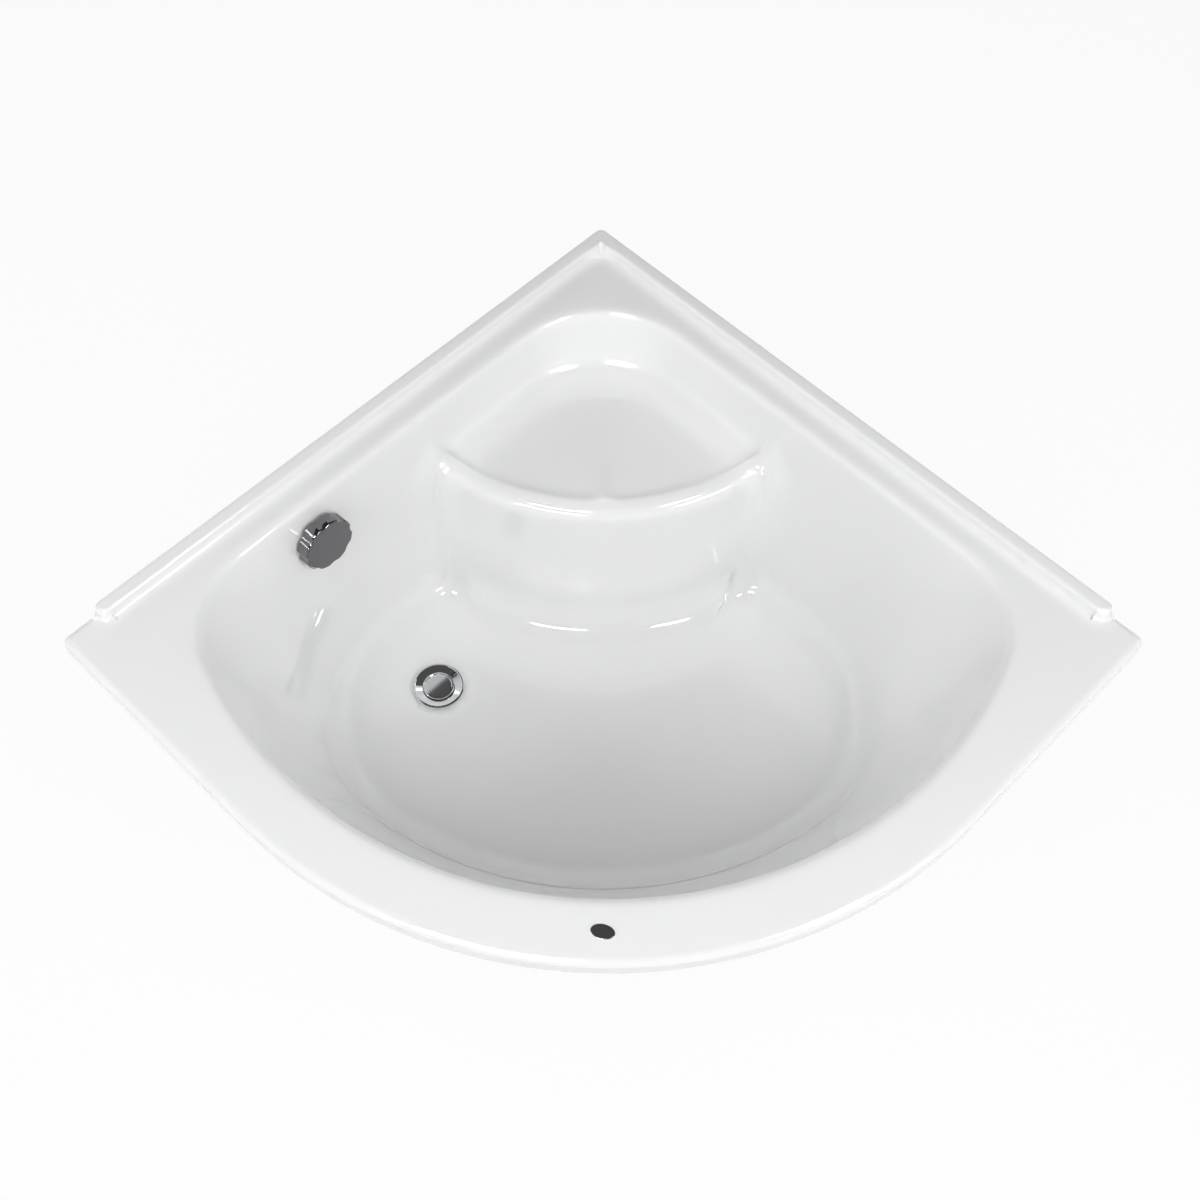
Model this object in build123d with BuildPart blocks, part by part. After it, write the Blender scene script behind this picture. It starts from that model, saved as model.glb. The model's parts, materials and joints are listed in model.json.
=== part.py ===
from build123d import *
import math
import os

# Quadrant shower tray with a moulded corner seat, a drain with a lifting plug and a rotary overflow.
# Millimetres. +Z is up, the curved front faces -Y and the wall corner is at +Y on the plane x = 0.
# Z = 0 is the floor that the feet stand on.

os.makedirs("parts", exist_ok=True)

# Plan of the tray
side_length = 900.0
front_straight = 325.0
deck_height = 500.0
skirt_height = 24.0
rear_corner_radius = 10.0
tip_radius = 10.0
deck_edge_radius = 9.0

# Raised ledge along the two wall sides
upstand_width = 20.0
upstand_setback = 1.0
upstand_height = 18.0
upstand_end_gap = 50.0
upstand_edge_radius = 4.0
upstand_inner_radius = 30.0

# Layers of the moulding
acrylic = 5.0
backing = 3.0
layer_gap = 0.3
ledge_root = 10.0
overcut = 1.0

# Basin: insets are from the wall sides, apexes are from the wall corner along the middle plane
basin_depth = 340.0
opening_inset = 56.0
opening_rear_radius = 142.0
opening_end_radius = 130.0
opening_front_radius = 515.0
opening_apex = 960.0
opening_roll = 9.0
floor_inset = 88.0
floor_rear_radius = 110.0
floor_end_radius = 200.0
floor_front_radius = 480.0
floor_apex = 808.0
floor_fillet = 38.0
outline_points = 48

# Moulded seat across the wall corner
seat_depth = 90.0
seat_apex = 398.0
seat_radius = 340.0
seat_foot_apex = 412.0
seat_foot_radius = 300.0
seat_half_width = 285.0
seat_roll = 22.0
seat_fillet = 34.0

# Boards and battens
board_thickness = 16.0
board_edge_gap = 18.0
board_rear = 415.0
board_cutout_radius = 65.0
seat_board_thickness = 12.0
seat_board_front = 345.0
seat_board_rear = 232.0
seat_board_front_half = 130.0
seat_board_rear_half = 45.0
batten_thickness = 18.0
batten_width = 26.0
batten_inset = 10.0
batten_start = 60.0
batten_end = 780.0
front_batten_inset = 14.0
front_batten_half_angle = 38.0

# Steel leg frame
tube_size = 30.0
tube_wall = 2.0
rear_bar_place = 430.0
front_bar_place = 700.0
rear_bar_half_length = 285.0
front_bar_half_length = 232.0
spine_rear_place = 240.0
spine_front_overhang = 15.0
post_place = 275.0
post_plate_size = 60.0
post_plate_thickness = 4.0
frame_bolt_radius = 4.0
frame_bolt_head = 5.3
frame_nut_height = 6.5
frame_nut_flats = 13.0
nut_pocket_radius = 11.0
nut_pocket_depth = 9.0
bolt_end_gap = 1.0
post_screw_offset = 22.0
post_screw_depth = 9.0
post_bolt_radius = 3.0
post_bolt_flats = 10.0
post_bolt_head = 4.0
post_bolt_reach = 8.0
bar_screw_spacing = 90.0
screw_radius = 2.0
screw_head_radius = 4.0
screw_head_height = 2.5
screw_depth = 12.0
screw_access_radius = 6.0
hole_clearance = 0.2

# Levelling feet
stud_radius = 5.0
stud_hole_clearance = 0.5
stud_spare = 1.0
stud_chamfer = 1.0
thread_clearance = 0.05
foot_travel = 8.0
nut_height = 8.0
nut_flats = 17.0
pad_radius = 25.0
pad_thickness = 8.0
pad_boss_radius = 10.0
pad_boss_height = 14.0
pad_boss_rise = 2.0
pad_bevel = 3.0
pad_edge = 1.0
pad_socket_clearance = 0.1
rear_foot_x = 262.0
front_foot_x = 205.0

# Drain: its place is from the middle plane and from the wall corner
drain_x = -221.0
drain_place = 512.0
recess_depth = 4.0
recess_radius = 40.0
waste_hole_radius = 26.0
waste_seal_thickness = 1.2
flange_radius = 35.0
flange_height = 4.5
dish_radius = 31.5
plug_seat_radius = 21.5
plug_seat_depth = 8.7
flange_bore = 18.5
flange_step = 2.0
flange_edge = 1.2
flange_lip = 1.0
flange_lip_drop = 0.7
waste_seal_inset = 2.0
seal_bore_clearance = 1.0
neck_radius = 23.5
neck_wall = 2.5
neck_length = 30.0
fit_gap = 0.3
running_gap = 0.08
body_seal_thickness = 2.0
body_flange_radius = 40.0
body_flange_thickness = 3.0
body_wall = 3.7
body_floor = 3.0
body_depth = 62.0
outlet_neck_radius = 18.3
outlet_neck_wall = 2.8
outlet_neck_length = 15.0
socket_overlap = 2.0

# Plug and its lifting gear
plug_height = 1.8
plug_rim = 1.2
plug_seal_thickness = 6.2
plug_stem_radius = 3.5
plug_boss_radius = 6.0
plug_boss_length = 7.0
plug_boss_floor = 3.0
plug_edge = 0.8
plug_dip = 0.3
plug_groove = 0.6
plug_seal_width = 5.6
plug_seal_inset = 0.9
stem_clearance = 0.1
lifter_radius = 3.0
lifter_head_radius = 6.5
lifter_head_floor = 5.0
lifter_socket_depth = 7.0
lifter_head_rise = 4.0
guide_drop = 24.0
guide_wall = 3.0
spider_width = 3.0
guide_height = 8.0
rocker_arm = 16.0
rocker_swing = 0.5
rocker_hub_radius = 4.0
rocker_tip_radius = 3.0
rocker_crank = 12.0
rocker_half_width = 3.0
rocker_gap = 0.4
rocker_drop = 47.0
rocker_web = 4.0
lug_gap = 0.4
lug_half_height = 4.0
lug_overhang = 3.0
lug_overlap = 1.5
pin_radius = 1.5
lug_thickness = 2.5
cable_angle = 215.0

# Trap and outlet
trap_radius = 42.0
trap_wall = 3.0
trap_height = 54.0
trap_collar_height = 8.0
trap_collar_wall = 3.9
dip_clearance = 0.7
dip_flange = 1.5
washer_height = 2.0
nut_wall = 4.2
nut_lip = 3.0
nut_stand_off = 0.8
dip_radius = 14.5
dip_wall = 2.0
dip_length = 44.0
weir_height = 37.0
weir_offset = 31.0
weir_wall = 2.0
outlet_radius = 20.0
outlet_wall = 1.8
outlet_socket_wall = 2.7
outlet_socket_reach = 75.0
outlet_socket_depth = 20.0
outlet_length = 160.0
outlet_drop = 26.0
outlet_nut_length = 17.0
outlet_spigot_length = 40.0
outlet_spigot_step = 0.25
trap_cap_radius = 27.0
trap_cap_plug_radius = 23.7
trap_cap_thickness = 5.0
trap_cap_seal_thickness = 1.0
trap_cap_plug_height = 7.0
trap_cap_wall = 2.7
trap_cap_floor = 3.0

# Overflow: its place is along the left wall side from the corner, and below the deck
overflow_along = 570.0
overflow_drop = 66.0
overflow_hole_radius = 24.0
bezel_radius = 29.0
bezel_thickness = 2.4
bezel_gap = 0.6
bezel_neck_radius = 21.5
bezel_neck_wall = 2.5
bezel_neck_length = 22.0
bezel_boss_radius = 7.0
bezel_boss_length = 9.0
bezel_edge = 1.0
knob_radius = 37.0
knob_thickness = 18.0
knob_standoff = 6.0
knob_lobes = 8
knob_scallop_radius = 19.0
knob_scallop_depth = 2.2
knob_edge_radius = 2.5
knob_face_thickness = 4.0
knob_bore_clearance = 0.05
spindle_radius = 4.0
overflow_seal_thickness = 2.5
overflow_flange_radius = 36.0
overflow_flange_thickness = 3.0
overflow_cup_radius = 27.0
overflow_cup_wall = 3.0
overflow_cup_depth = 35.0
thread_run_out = 2.0
crank_arm = 14.0
crank_thickness = 5.0
crank_hub_radius = 7.0
crank_tip_radius = 3.0
spindle_overhang = 3.0

# Overflow hose and control cable
hose_bore = 12.3
hose_valley = 13.6
hose_crest = 16.0
hose_pitch = 5.0
hose_bend_radius = 64.0
spigot_radius = 12.0
spigot_wall = 2.5
spigot_length = 18.0
spigot_back = 35.5
gland_back = 31.5
hose_nut_radius = 20.0
hose_nut_length = 17.0
hose_nut_start = 0.5
hose_end_gap = 1.0
branch_drop = 27.7
branch_reach = 46.0
cable_radius = 2.5
gland_radius = 5.5
gland_length = 12.0
gland_seat = 2.0
gland_floor = 2.0
cable_clearance = 0.1
cable_wire_radius = 1.5
cable_insert = 2.0
cable_lead_out = 42.0
cable_lead_in = 50.0

# The cable's way outside the basin: past the overflow, in from the wall side, below the deck
cable_places = ((92.0, 28.0, 170.0), (94.0, 34.0, 270.0), (98.0, 58.0, 360.0), (103.0, 130.0, 408.0))

# Badge plate on the front deck, left plain
badge_length = 27.0
badge_width = 17.0
badge_thickness = 1.2
badge_edge = 0.5
badge_x = -10.0
badge_place = 997.0
badge_turn = -15.0

# Places worked out from the sizes above
half = math.sqrt(0.5)
front_radius = side_length - front_straight
apex = front_straight / half + front_radius
corner_trim = rear_corner_radius * (1 / half - 1)
corner_y = (apex + corner_trim) / 2
front_centre_y = corner_y - front_straight / half
floor_level = deck_height - basin_depth
seat_level = deck_height - seat_depth
laminate = acrylic + layer_gap + backing
board_top = floor_level - laminate
bar_top = board_top - board_thickness
spine_top = bar_top - tube_size
spine_bottom = spine_top - tube_size
rear_bar_y = corner_y - rear_bar_place
front_bar_y = corner_y - front_bar_place
post_y = corner_y - post_place
drain_y = corner_y - drain_place
recess_level = floor_level - recess_depth
drain_under = recess_level - laminate


def wall_point(side, along, inset):
    """Point in plan on the left (-1) or right (1) wall side."""
    return (side * half * (along - inset), corner_y - half * (along + inset))


def tray_outline(inset):
    """Outline of the tray in plan, moved inwards by inset."""
    reach = side_length - inset
    left = wall_point(-1, reach, front_straight)
    right = wall_point(1, reach, front_straight)
    left_tip = wall_point(-1, reach, inset)
    right_tip = wall_point(1, reach, inset)
    corner = wall_point(1, inset, inset)
    front = (0, front_centre_y - front_radius + inset)
    with BuildLine() as outline:
        Polyline(left, left_tip, corner, right_tip, right)
        ThreePointArc(left, front, right)
    return outline.line


def basin_outline(inset, rear_radius, end_radius, arc_radius, arc_apex):
    """Closed smooth outline of the basin at one level."""
    centre_along = (arc_apex - arc_radius) * half
    arc_centre = Vector(0, corner_y - arc_apex + arc_radius)
    across = inset + end_radius - centre_along
    end_along = centre_along + math.sqrt((arc_radius - end_radius) ** 2 - across**2)
    ends = {}
    for side in (-1, 1):
        centre = Vector(*wall_point(side, end_along, inset + end_radius))
        rear = Vector(*wall_point(side, inset + rear_radius, inset))
        wall = Vector(*wall_point(side, end_along, inset))
        arc = arc_centre + (centre - arc_centre).normalized() * arc_radius
        middle = centre + ((wall + arc) * 0.5 - centre).normalized() * end_radius
        ends[side] = (rear, wall, middle, arc)
    rear_middle = Vector(0, corner_y - (inset + rear_radius) / half + rear_radius)
    front_middle = Vector(0, corner_y - arc_apex)
    with BuildLine() as arcs:
        ThreePointArc(ends[-1][0], rear_middle, ends[1][0])
        Line(ends[1][0], ends[1][1])
        ThreePointArc(ends[1][1], ends[1][2], ends[1][3])
        ThreePointArc(ends[1][3], front_middle, ends[-1][3])
        ThreePointArc(ends[-1][3], ends[-1][2], ends[-1][1])
        Line(ends[-1][1], ends[-1][0])
    wire = Wire(arcs.line.edges())
    points = [wire.position_at((i + 0.5) / outline_points) for i in range(outline_points)]
    with BuildLine() as outline:
        Spline(*[(p.X, p.Y) for p in points], periodic=True)
    return outline.line


def basin_form(grow):
    """The space inside the basin, grown on every side for the outer layers."""
    opening = (
        opening_inset - grow,
        opening_rear_radius + grow,
        opening_end_radius + grow,
        opening_front_radius + grow,
        opening_apex + grow,
    )
    floor = (
        floor_inset - grow,
        floor_rear_radius + grow,
        floor_end_radius + grow,
        floor_front_radius + grow,
        floor_apex + grow,
    )
    with BuildPart() as tub:
        with BuildSketch(Plane.XY.offset(deck_height)):
            add(basin_outline(*opening))
            make_face()
        with BuildSketch(Plane.XY.offset(floor_level - grow)):
            add(basin_outline(*floor))
            make_face()
        loft(ruled=True)
        fillet(tub.faces().sort_by(Axis.Z)[0].edges(), floor_fillet + grow)

    seat_arcs = (
        (seat_level - grow, seat_apex - grow, seat_radius - grow),
        (floor_level - grow - seat_roll, seat_foot_apex - grow, seat_foot_radius - grow),
    )
    with BuildPart() as seat:
        for level, arc_apex, arc_radius in seat_arcs:
            width = seat_half_width - grow
            centre_y = corner_y - arc_apex + arc_radius
            end_y = centre_y - math.sqrt(arc_radius**2 - width**2)
            with BuildSketch(Plane.XY.offset(level)):
                with BuildLine():
                    ThreePointArc((-width, end_y), (0, centre_y - arc_radius), (width, end_y))
                    Polyline((width, end_y), (width, apex), (-width, apex), (-width, end_y))
                make_face()
        loft(ruled=True)
        front_edge = seat.edges().group_by(Axis.Z)[-1].sort_by(Axis.Y)[0]
        fillet(front_edge, seat_roll - grow)

    with BuildPart() as form:
        add(tub.part)
        add(seat.part, mode=Mode.SUBTRACT)
        fillet(seat_seam(form.edges(), grow), seat_fillet + grow)
        with BuildSketch(Plane.XY.offset(recess_level - grow)):
            with Locations((drain_x, drain_y)):
                Circle(recess_radius + grow)
        extrude(amount=recess_depth + grow)
    return form.part


def seat_seam(edges, grow):
    """The closed seam where the seat's top and front meet the walls and the floor."""
    top = seat_level - grow
    bottom = floor_level - grow
    seam = []
    for edge in edges:
        middle = edge.center()
        behind_front = middle.Y > corner_y - seat_foot_apex - seat_roll
        on_seat = abs(middle.Z - top) < 0.5 and middle.Y > corner_y - seat_apex + 2 * seat_roll
        beside_seat = 130 < abs(middle.X) < 225 and edge.length < basin_depth and middle.Z < top + 1
        above_foot = middle.Y > corner_y - seat_foot_apex + 2 * seat_fillet
        at_foot = abs(middle.X) < 5 and abs(middle.Z - bottom) < 0.5
        if behind_front and (on_seat or (beside_seat and above_foot) or at_foot):
            seam.append(edge)
    return seam


inner_form = basin_form(0)
acrylic_form = basin_form(acrylic)
gap_form = basin_form(acrylic + layer_gap)
laminate_form = basin_form(laminate)


def turned(place, *profile):
    """A solid turned about the place's axis, from its outline as (radius, height) points."""
    side_plane = Plane(place.origin, x_dir=place.x_dir, z_dir=-place.y_dir)
    with BuildPart() as solid:
        with BuildSketch(side_plane):
            with BuildLine():
                Polyline(*profile, close=True)
            make_face()
        revolve(axis=Axis(place.origin, place.z_dir))
    return solid.part


def ring(place, inner, outer, low, high):
    """A ring, or a disc where inner is 0, between two heights on the place's axis."""
    return turned(place, (inner, low), (outer, low), (outer, high), (inner, high))


def hexagon_nut(place, bore, flats, low, high):
    """A hexagon nut between two heights on the place's axis."""
    with BuildPart() as solid:
        with BuildSketch(place.offset(low)):
            RegularPolygon(flats / 2, 6, major_radius=False)
            if bore:
                Circle(bore, mode=Mode.SUBTRACT)
        extrude(amount=high - low)
    return solid.part


def upright(x, y):
    """The vertical axis through a point in plan."""
    return Plane((x, y, 0))


def ledge_band(inset):
    """The raised ledge in plan, with every side moved inwards by inset."""
    reach = side_length - upstand_end_gap - inset
    outer = upstand_setback + inset
    inner = upstand_width - inset
    with BuildSketch() as band:
        with BuildLine():
            Polyline(
                wall_point(1, reach, outer),
                wall_point(1, outer, outer),
                wall_point(-1, reach, outer),
                wall_point(-1, reach, inner),
                wall_point(-1, inner, inner),
                wall_point(1, reach, inner),
                close=True,
            )
        make_face()
        corners = band.vertices().sort_by(Axis.Y)
        fillet(corners[:4], (inner - outer) * 0.45)
        corners = band.vertices().sort_by(Axis.Y)
        fillet(corners[-1], rear_corner_radius - outer)
        fillet(band.vertices().sort_by(Axis.Y)[-3], upstand_inner_radius + inset)
    return band.sketch


# Places of the drain and of the overflow
drain = upright(drain_x, drain_y)
wall_draft = (floor_inset - opening_inset) / basin_depth
overflow_inset = opening_inset + wall_draft * overflow_drop
overflow_z = deck_height - overflow_drop
overflow_point = wall_point(-1, overflow_along, overflow_inset)
overflow = Plane(
    origin=(*overflow_point, overflow_z),
    x_dir=(half, half, 0),
    z_dir=(half, -half, wall_draft),
)

# Acrylic moulding
with BuildPart() as tray_shell:
    with BuildSketch(Plane.XY.offset(deck_height - skirt_height)):
        add(tray_outline(0))
        make_face()
    extrude(amount=skirt_height)
    fillet(tray_shell.edges().filter_by(Axis.Z).sort_by(Axis.Y)[-1], rear_corner_radius)
    tips = tray_shell.edges().filter_by(Axis.Z).sort_by(Axis.X)
    fillet([tips[0], tips[-1]], tip_radius)
    fillet(tray_shell.faces().sort_by(Axis.Z)[-1].edges(), deck_edge_radius)
    with BuildSketch(Plane.XY.offset(deck_height - ledge_root)):
        add(ledge_band(0))
    extrude(amount=ledge_root + upstand_height)
    fillet(tray_shell.faces().sort_by(Axis.Z)[-1].edges(), upstand_edge_radius)
    with BuildSketch(Plane.XY.offset(deck_height - skirt_height)):
        add(tray_outline(acrylic))
        make_face()
    extrude(amount=skirt_height - acrylic, mode=Mode.SUBTRACT)
    with BuildSketch(Plane.XY.offset(deck_height - 2 * acrylic)):
        add(ledge_band(acrylic))
    extrude(amount=acrylic + upstand_height, mode=Mode.SUBTRACT)
    add(acrylic_form)
    add(inner_form, mode=Mode.SUBTRACT)
    at_deck = [e for e in tray_shell.edges() if abs(e.center().Z - deck_height) < 0.01]
    opening_edge = [e for e in at_deck if e.length > 2 * side_length]
    fillet(opening_edge, opening_roll)
    add(ring(drain, 0, waste_hole_radius, drain_under - overcut, floor_level), mode=Mode.SUBTRACT)
    add(ring(overflow, 0, overflow_hole_radius, -2 * laminate, laminate), mode=Mode.SUBTRACT)
tray_shell.part.label = "tray_shell"
export_step(tray_shell.part, "parts/tray_shell.step")

# Glass-fibre layer behind the acrylic
under_deck = deck_height - acrylic - layer_gap
with BuildPart() as glassfibre_backing:
    with BuildSketch(Plane.XY.offset(under_deck - backing)):
        add(tray_outline(acrylic + layer_gap))
        make_face()
    extrude(amount=backing)
    add(laminate_form)
    with BuildSketch(Plane.XY.offset(under_deck)):
        add(tray_outline(0))
        make_face()
    extrude(amount=acrylic + backing, mode=Mode.SUBTRACT)
    add(gap_form, mode=Mode.SUBTRACT)
    add(ring(drain, 0, waste_hole_radius, drain_under - overcut, floor_level), mode=Mode.SUBTRACT)
    add(ring(overflow, 0, overflow_hole_radius, -2 * laminate, laminate), mode=Mode.SUBTRACT)
glassfibre_backing.part.label = "glassfibre_backing"
export_step(glassfibre_backing.part, "parts/glassfibre_backing.step")

# Plain oval plate on the front deck
with BuildPart() as badge_plate:
    with BuildSketch(Plane.XY.offset(deck_height)):
        with Locations(Location((badge_x, corner_y - badge_place, 0), (0, 0, badge_turn))):
            Ellipse(badge_length / 2, badge_width / 2)
    extrude(amount=badge_thickness)
    fillet(badge_plate.edges().sort_by(Axis.Z)[-1], badge_edge)
badge_plate.part.label = "badge_plate"
export_step(badge_plate.part, "parts/badge_plate.step")

# Places of the frame's fasteners and feet
bar_places = ((rear_bar_y, rear_bar_half_length), (front_bar_y, front_bar_half_length))
bar_screw_places = [(n * bar_screw_spacing, y) for y, _ in bar_places for n in (-2, -1, 1, 2)]
frame_bolt_places = [(0, rear_bar_y), (0, front_bar_y)]
foot_places = {
    "rear_left": (-rear_foot_x, rear_bar_y, spine_top),
    "rear_right": (rear_foot_x, rear_bar_y, spine_top),
    "front_left": (-front_foot_x, front_bar_y, spine_top),
    "front_right": (front_foot_x, front_bar_y, spine_top),
    "seat": (0, post_y, spine_bottom),
}

# Chipboard under the floor
with BuildPart() as base_board:
    with BuildSketch(Plane.XY.offset(bar_top)):
        add(
            basin_outline(
                floor_inset + board_edge_gap,
                floor_rear_radius - board_edge_gap,
                floor_end_radius - board_edge_gap,
                floor_front_radius - board_edge_gap,
                floor_apex - board_edge_gap,
            )
        )
        make_face()
        with Locations((0, corner_y - board_rear + apex / 2)):
            Rectangle(2 * apex, apex, mode=Mode.SUBTRACT)
        with Locations((drain_x, drain_y)):
            Circle(board_cutout_radius, mode=Mode.SUBTRACT)
    extrude(amount=board_thickness)
    for x, y in bar_screw_places:
        high = bar_top + screw_depth + overcut
        pilot = ring(upright(x, y), 0, screw_radius + hole_clearance, bar_top, high)
        add(pilot, mode=Mode.SUBTRACT)
    for x, y in frame_bolt_places:
        pocket = ring(upright(x, y), 0, nut_pocket_radius, bar_top, bar_top + nut_pocket_depth)
        add(pocket, mode=Mode.SUBTRACT)
base_board.part.label = "base_board"
export_step(base_board.part, "parts/base_board.step")

# Chipboard under the seat
seat_board_top = seat_level - laminate
seat_board_bottom = seat_board_top - seat_board_thickness
post_sides = (-post_screw_offset, post_screw_offset)
post_screw_places = [(x, post_y + y) for x in post_sides for y in post_sides]
with BuildPart() as seat_board:
    with BuildSketch(Plane.XY.offset(seat_board_bottom)):
        with BuildLine():
            Polyline(
                (-seat_board_front_half, corner_y - seat_board_front),
                (seat_board_front_half, corner_y - seat_board_front),
                (seat_board_rear_half, corner_y - seat_board_rear),
                (-seat_board_rear_half, corner_y - seat_board_rear),
                close=True,
            )
        make_face()
    extrude(amount=seat_board_thickness)
    for x, y in post_screw_places:
        high = seat_board_bottom + post_screw_depth + overcut
        pilot = ring(upright(x, y), 0, screw_radius + hole_clearance, seat_board_bottom, high)
        add(pilot, mode=Mode.SUBTRACT)
seat_board.part.label = "seat_board"
export_step(seat_board.part, "parts/seat_board.step")

# Wooden battens under the deck
batten_bottom = under_deck - backing - batten_thickness
for name, side in (("left", -1), ("right", 1)):
    with BuildPart() as rim_batten:
        with BuildSketch(Plane.XY.offset(batten_bottom)):
            with BuildLine():
                Polyline(
                    wall_point(side, batten_start, batten_inset),
                    wall_point(side, batten_end, batten_inset),
                    wall_point(side, batten_end, batten_inset + batten_width),
                    wall_point(side, batten_start, batten_inset + batten_width),
                    close=True,
                )
            make_face()
        extrude(amount=batten_thickness)
    rim_batten.part.label = f"rim_batten_{name}"
    export_step(rim_batten.part, f"parts/rim_batten_{name}.step")

front_batten_outer = front_radius - front_batten_inset
front_batten_inner = front_batten_outer - batten_width
with BuildPart() as rim_batten_front:
    with BuildSketch(Plane.XY.offset(batten_bottom)):
        with BuildLine():
            centre = (0, front_centre_y)
            start = -90 - front_batten_half_angle
            sweep_angle = 2 * front_batten_half_angle
            outer_arc = CenterArc(centre, front_batten_outer, start, sweep_angle)
            inner_arc = CenterArc(centre, front_batten_inner, start, sweep_angle)
            Line(outer_arc @ 0, inner_arc @ 0)
            Line(outer_arc @ 1, inner_arc @ 1)
        make_face()
    extrude(amount=batten_thickness)
rim_batten_front.part.label = "rim_batten_front"
export_step(rim_batten_front.part, "parts/rim_batten_front.step")

# Steel box sections across the tray, under the board
tube_inside = tube_size - 2 * tube_wall
stud_hole_radius = stud_radius + stud_hole_clearance
post_bolt_hole = post_bolt_radius + hole_clearance
for name, bar_y, half_length in (
    ("crossbar_rear", rear_bar_y, rear_bar_half_length),
    ("crossbar_front", front_bar_y, front_bar_half_length),
):
    with BuildPart() as crossbar:
        with Locations((0, bar_y, bar_top - tube_size / 2)):
            Box(2 * half_length, tube_size, tube_size)
            Box(2 * half_length, tube_inside, tube_inside, mode=Mode.SUBTRACT)
        for x, y in bar_screw_places:
            if y == bar_y:
                access = ring(upright(x, y), 0, screw_access_radius, spine_top, spine_top + tube_wall)
                shank = ring(upright(x, y), 0, screw_radius + hole_clearance, bar_top - tube_wall, bar_top)
                add(access, mode=Mode.SUBTRACT)
                add(shank, mode=Mode.SUBTRACT)
        bolt_hole = ring(upright(0, bar_y), 0, frame_bolt_radius + hole_clearance, spine_top, bar_top)
        add(bolt_hole, mode=Mode.SUBTRACT)
        for x, y, level in foot_places.values():
            if y == bar_y:
                stud_hole = ring(upright(x, y), 0, stud_hole_radius, level, level + tube_wall)
                add(stud_hole, mode=Mode.SUBTRACT)
    crossbar.part.label = name
    export_step(crossbar.part, f"parts/{name}.step")

# Steel box section along the middle, which carries the seat post
spine_front_y = front_bar_y - spine_front_overhang
spine_rear_y = corner_y - spine_rear_place
spine_length = spine_rear_y - spine_front_y
post_bolt_places = [(0, post_y + y) for y in post_sides]
with BuildPart() as frame_spine:
    with Locations((0, (spine_front_y + spine_rear_y) / 2, spine_top - tube_size / 2)):
        Box(tube_size, spine_length, tube_size)
        Box(tube_inside, spine_length, tube_inside, mode=Mode.SUBTRACT)
    for x, y in frame_bolt_places:
        bolt_hole = ring(upright(x, y), 0, frame_bolt_radius + hole_clearance, spine_bottom, spine_top)
        add(bolt_hole, mode=Mode.SUBTRACT)
    for x, y in post_bolt_places:
        bolt_hole = ring(upright(x, y), 0, post_bolt_hole, spine_top - tube_wall, spine_top)
        add(bolt_hole, mode=Mode.SUBTRACT)
    stud_hole = ring(upright(0, post_y), 0, stud_hole_radius, spine_bottom, spine_bottom + tube_wall)
    add(stud_hole, mode=Mode.SUBTRACT)
frame_spine.part.label = "frame_spine"
export_step(frame_spine.part, "parts/frame_spine.step")

# Welded post under the seat
with BuildPart() as seat_post:
    with Locations((0, post_y, (spine_top + seat_board_bottom) / 2)):
        Box(tube_size, tube_size, seat_board_bottom - spine_top)
        Box(tube_inside, tube_inside, seat_board_bottom - spine_top, mode=Mode.SUBTRACT)
    for level in (spine_top + post_plate_thickness / 2, seat_board_bottom - post_plate_thickness / 2):
        with Locations((0, post_y, level)):
            Box(post_plate_size, post_plate_size, post_plate_thickness)
    for x, y in post_screw_places:
        low = seat_board_bottom - post_plate_thickness
        hole = ring(upright(x, y), 0, screw_radius + hole_clearance, low, seat_board_bottom)
        add(hole, mode=Mode.SUBTRACT)
    for x, y in post_bolt_places:
        high = spine_top + post_plate_thickness
        hole = ring(upright(x, y), 0, post_bolt_hole, spine_top, high)
        add(hole, mode=Mode.SUBTRACT)
seat_post.part.label = "seat_post"
export_step(seat_post.part, "parts/seat_post.step")

# Bolts through the spine and the crossbars, with nuts in the board's pockets
with BuildPart() as frame_bolts:
    bolt_end = bar_top + nut_pocket_depth - bolt_end_gap
    for x, y in frame_bolt_places:
        add(hexagon_nut(upright(x, y), 0, frame_nut_flats, spine_bottom - frame_bolt_head, spine_bottom))
        add(ring(upright(x, y), 0, frame_bolt_radius, spine_bottom, bolt_end))
frame_bolts.part.label = "frame_bolts"
export_step(frame_bolts.part, "parts/frame_bolts.step")

with BuildPart() as frame_nuts:
    for x, y in frame_bolt_places:
        bore = frame_bolt_radius + thread_clearance
        add(hexagon_nut(upright(x, y), bore, frame_nut_flats, bar_top, bar_top + frame_nut_height))
frame_nuts.part.label = "frame_nuts"
export_step(frame_nuts.part, "parts/frame_nuts.step")

# Wood screws from the crossbars into the board, heads inside the box section
with BuildPart() as bar_screws:
    head_top = bar_top - tube_wall
    for x, y in bar_screw_places:
        add(ring(upright(x, y), 0, screw_head_radius, head_top - screw_head_height, head_top))
        add(ring(upright(x, y), 0, screw_radius, head_top, bar_top + screw_depth))
bar_screws.part.label = "bar_screws"
export_step(bar_screws.part, "parts/bar_screws.step")

with BuildPart() as seat_post_screws:
    head_top = seat_board_bottom - post_plate_thickness
    for x, y in post_screw_places:
        add(ring(upright(x, y), 0, screw_head_radius, head_top - screw_head_height, head_top))
        add(ring(upright(x, y), 0, screw_radius, head_top, seat_board_bottom + post_screw_depth))
seat_post_screws.part.label = "seat_post_screws"
export_step(seat_post_screws.part, "parts/seat_post_screws.step")

with BuildPart() as seat_post_bolts:
    head_low = spine_top + post_plate_thickness
    for x, y in post_bolt_places:
        add(hexagon_nut(upright(x, y), 0, post_bolt_flats, head_low, head_low + post_bolt_head))
        add(ring(upright(x, y), 0, post_bolt_radius, spine_top - post_bolt_reach, head_low))
seat_post_bolts.part.label = "seat_post_bolts"
export_step(seat_post_bolts.part, "parts/seat_post_bolts.step")

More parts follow.
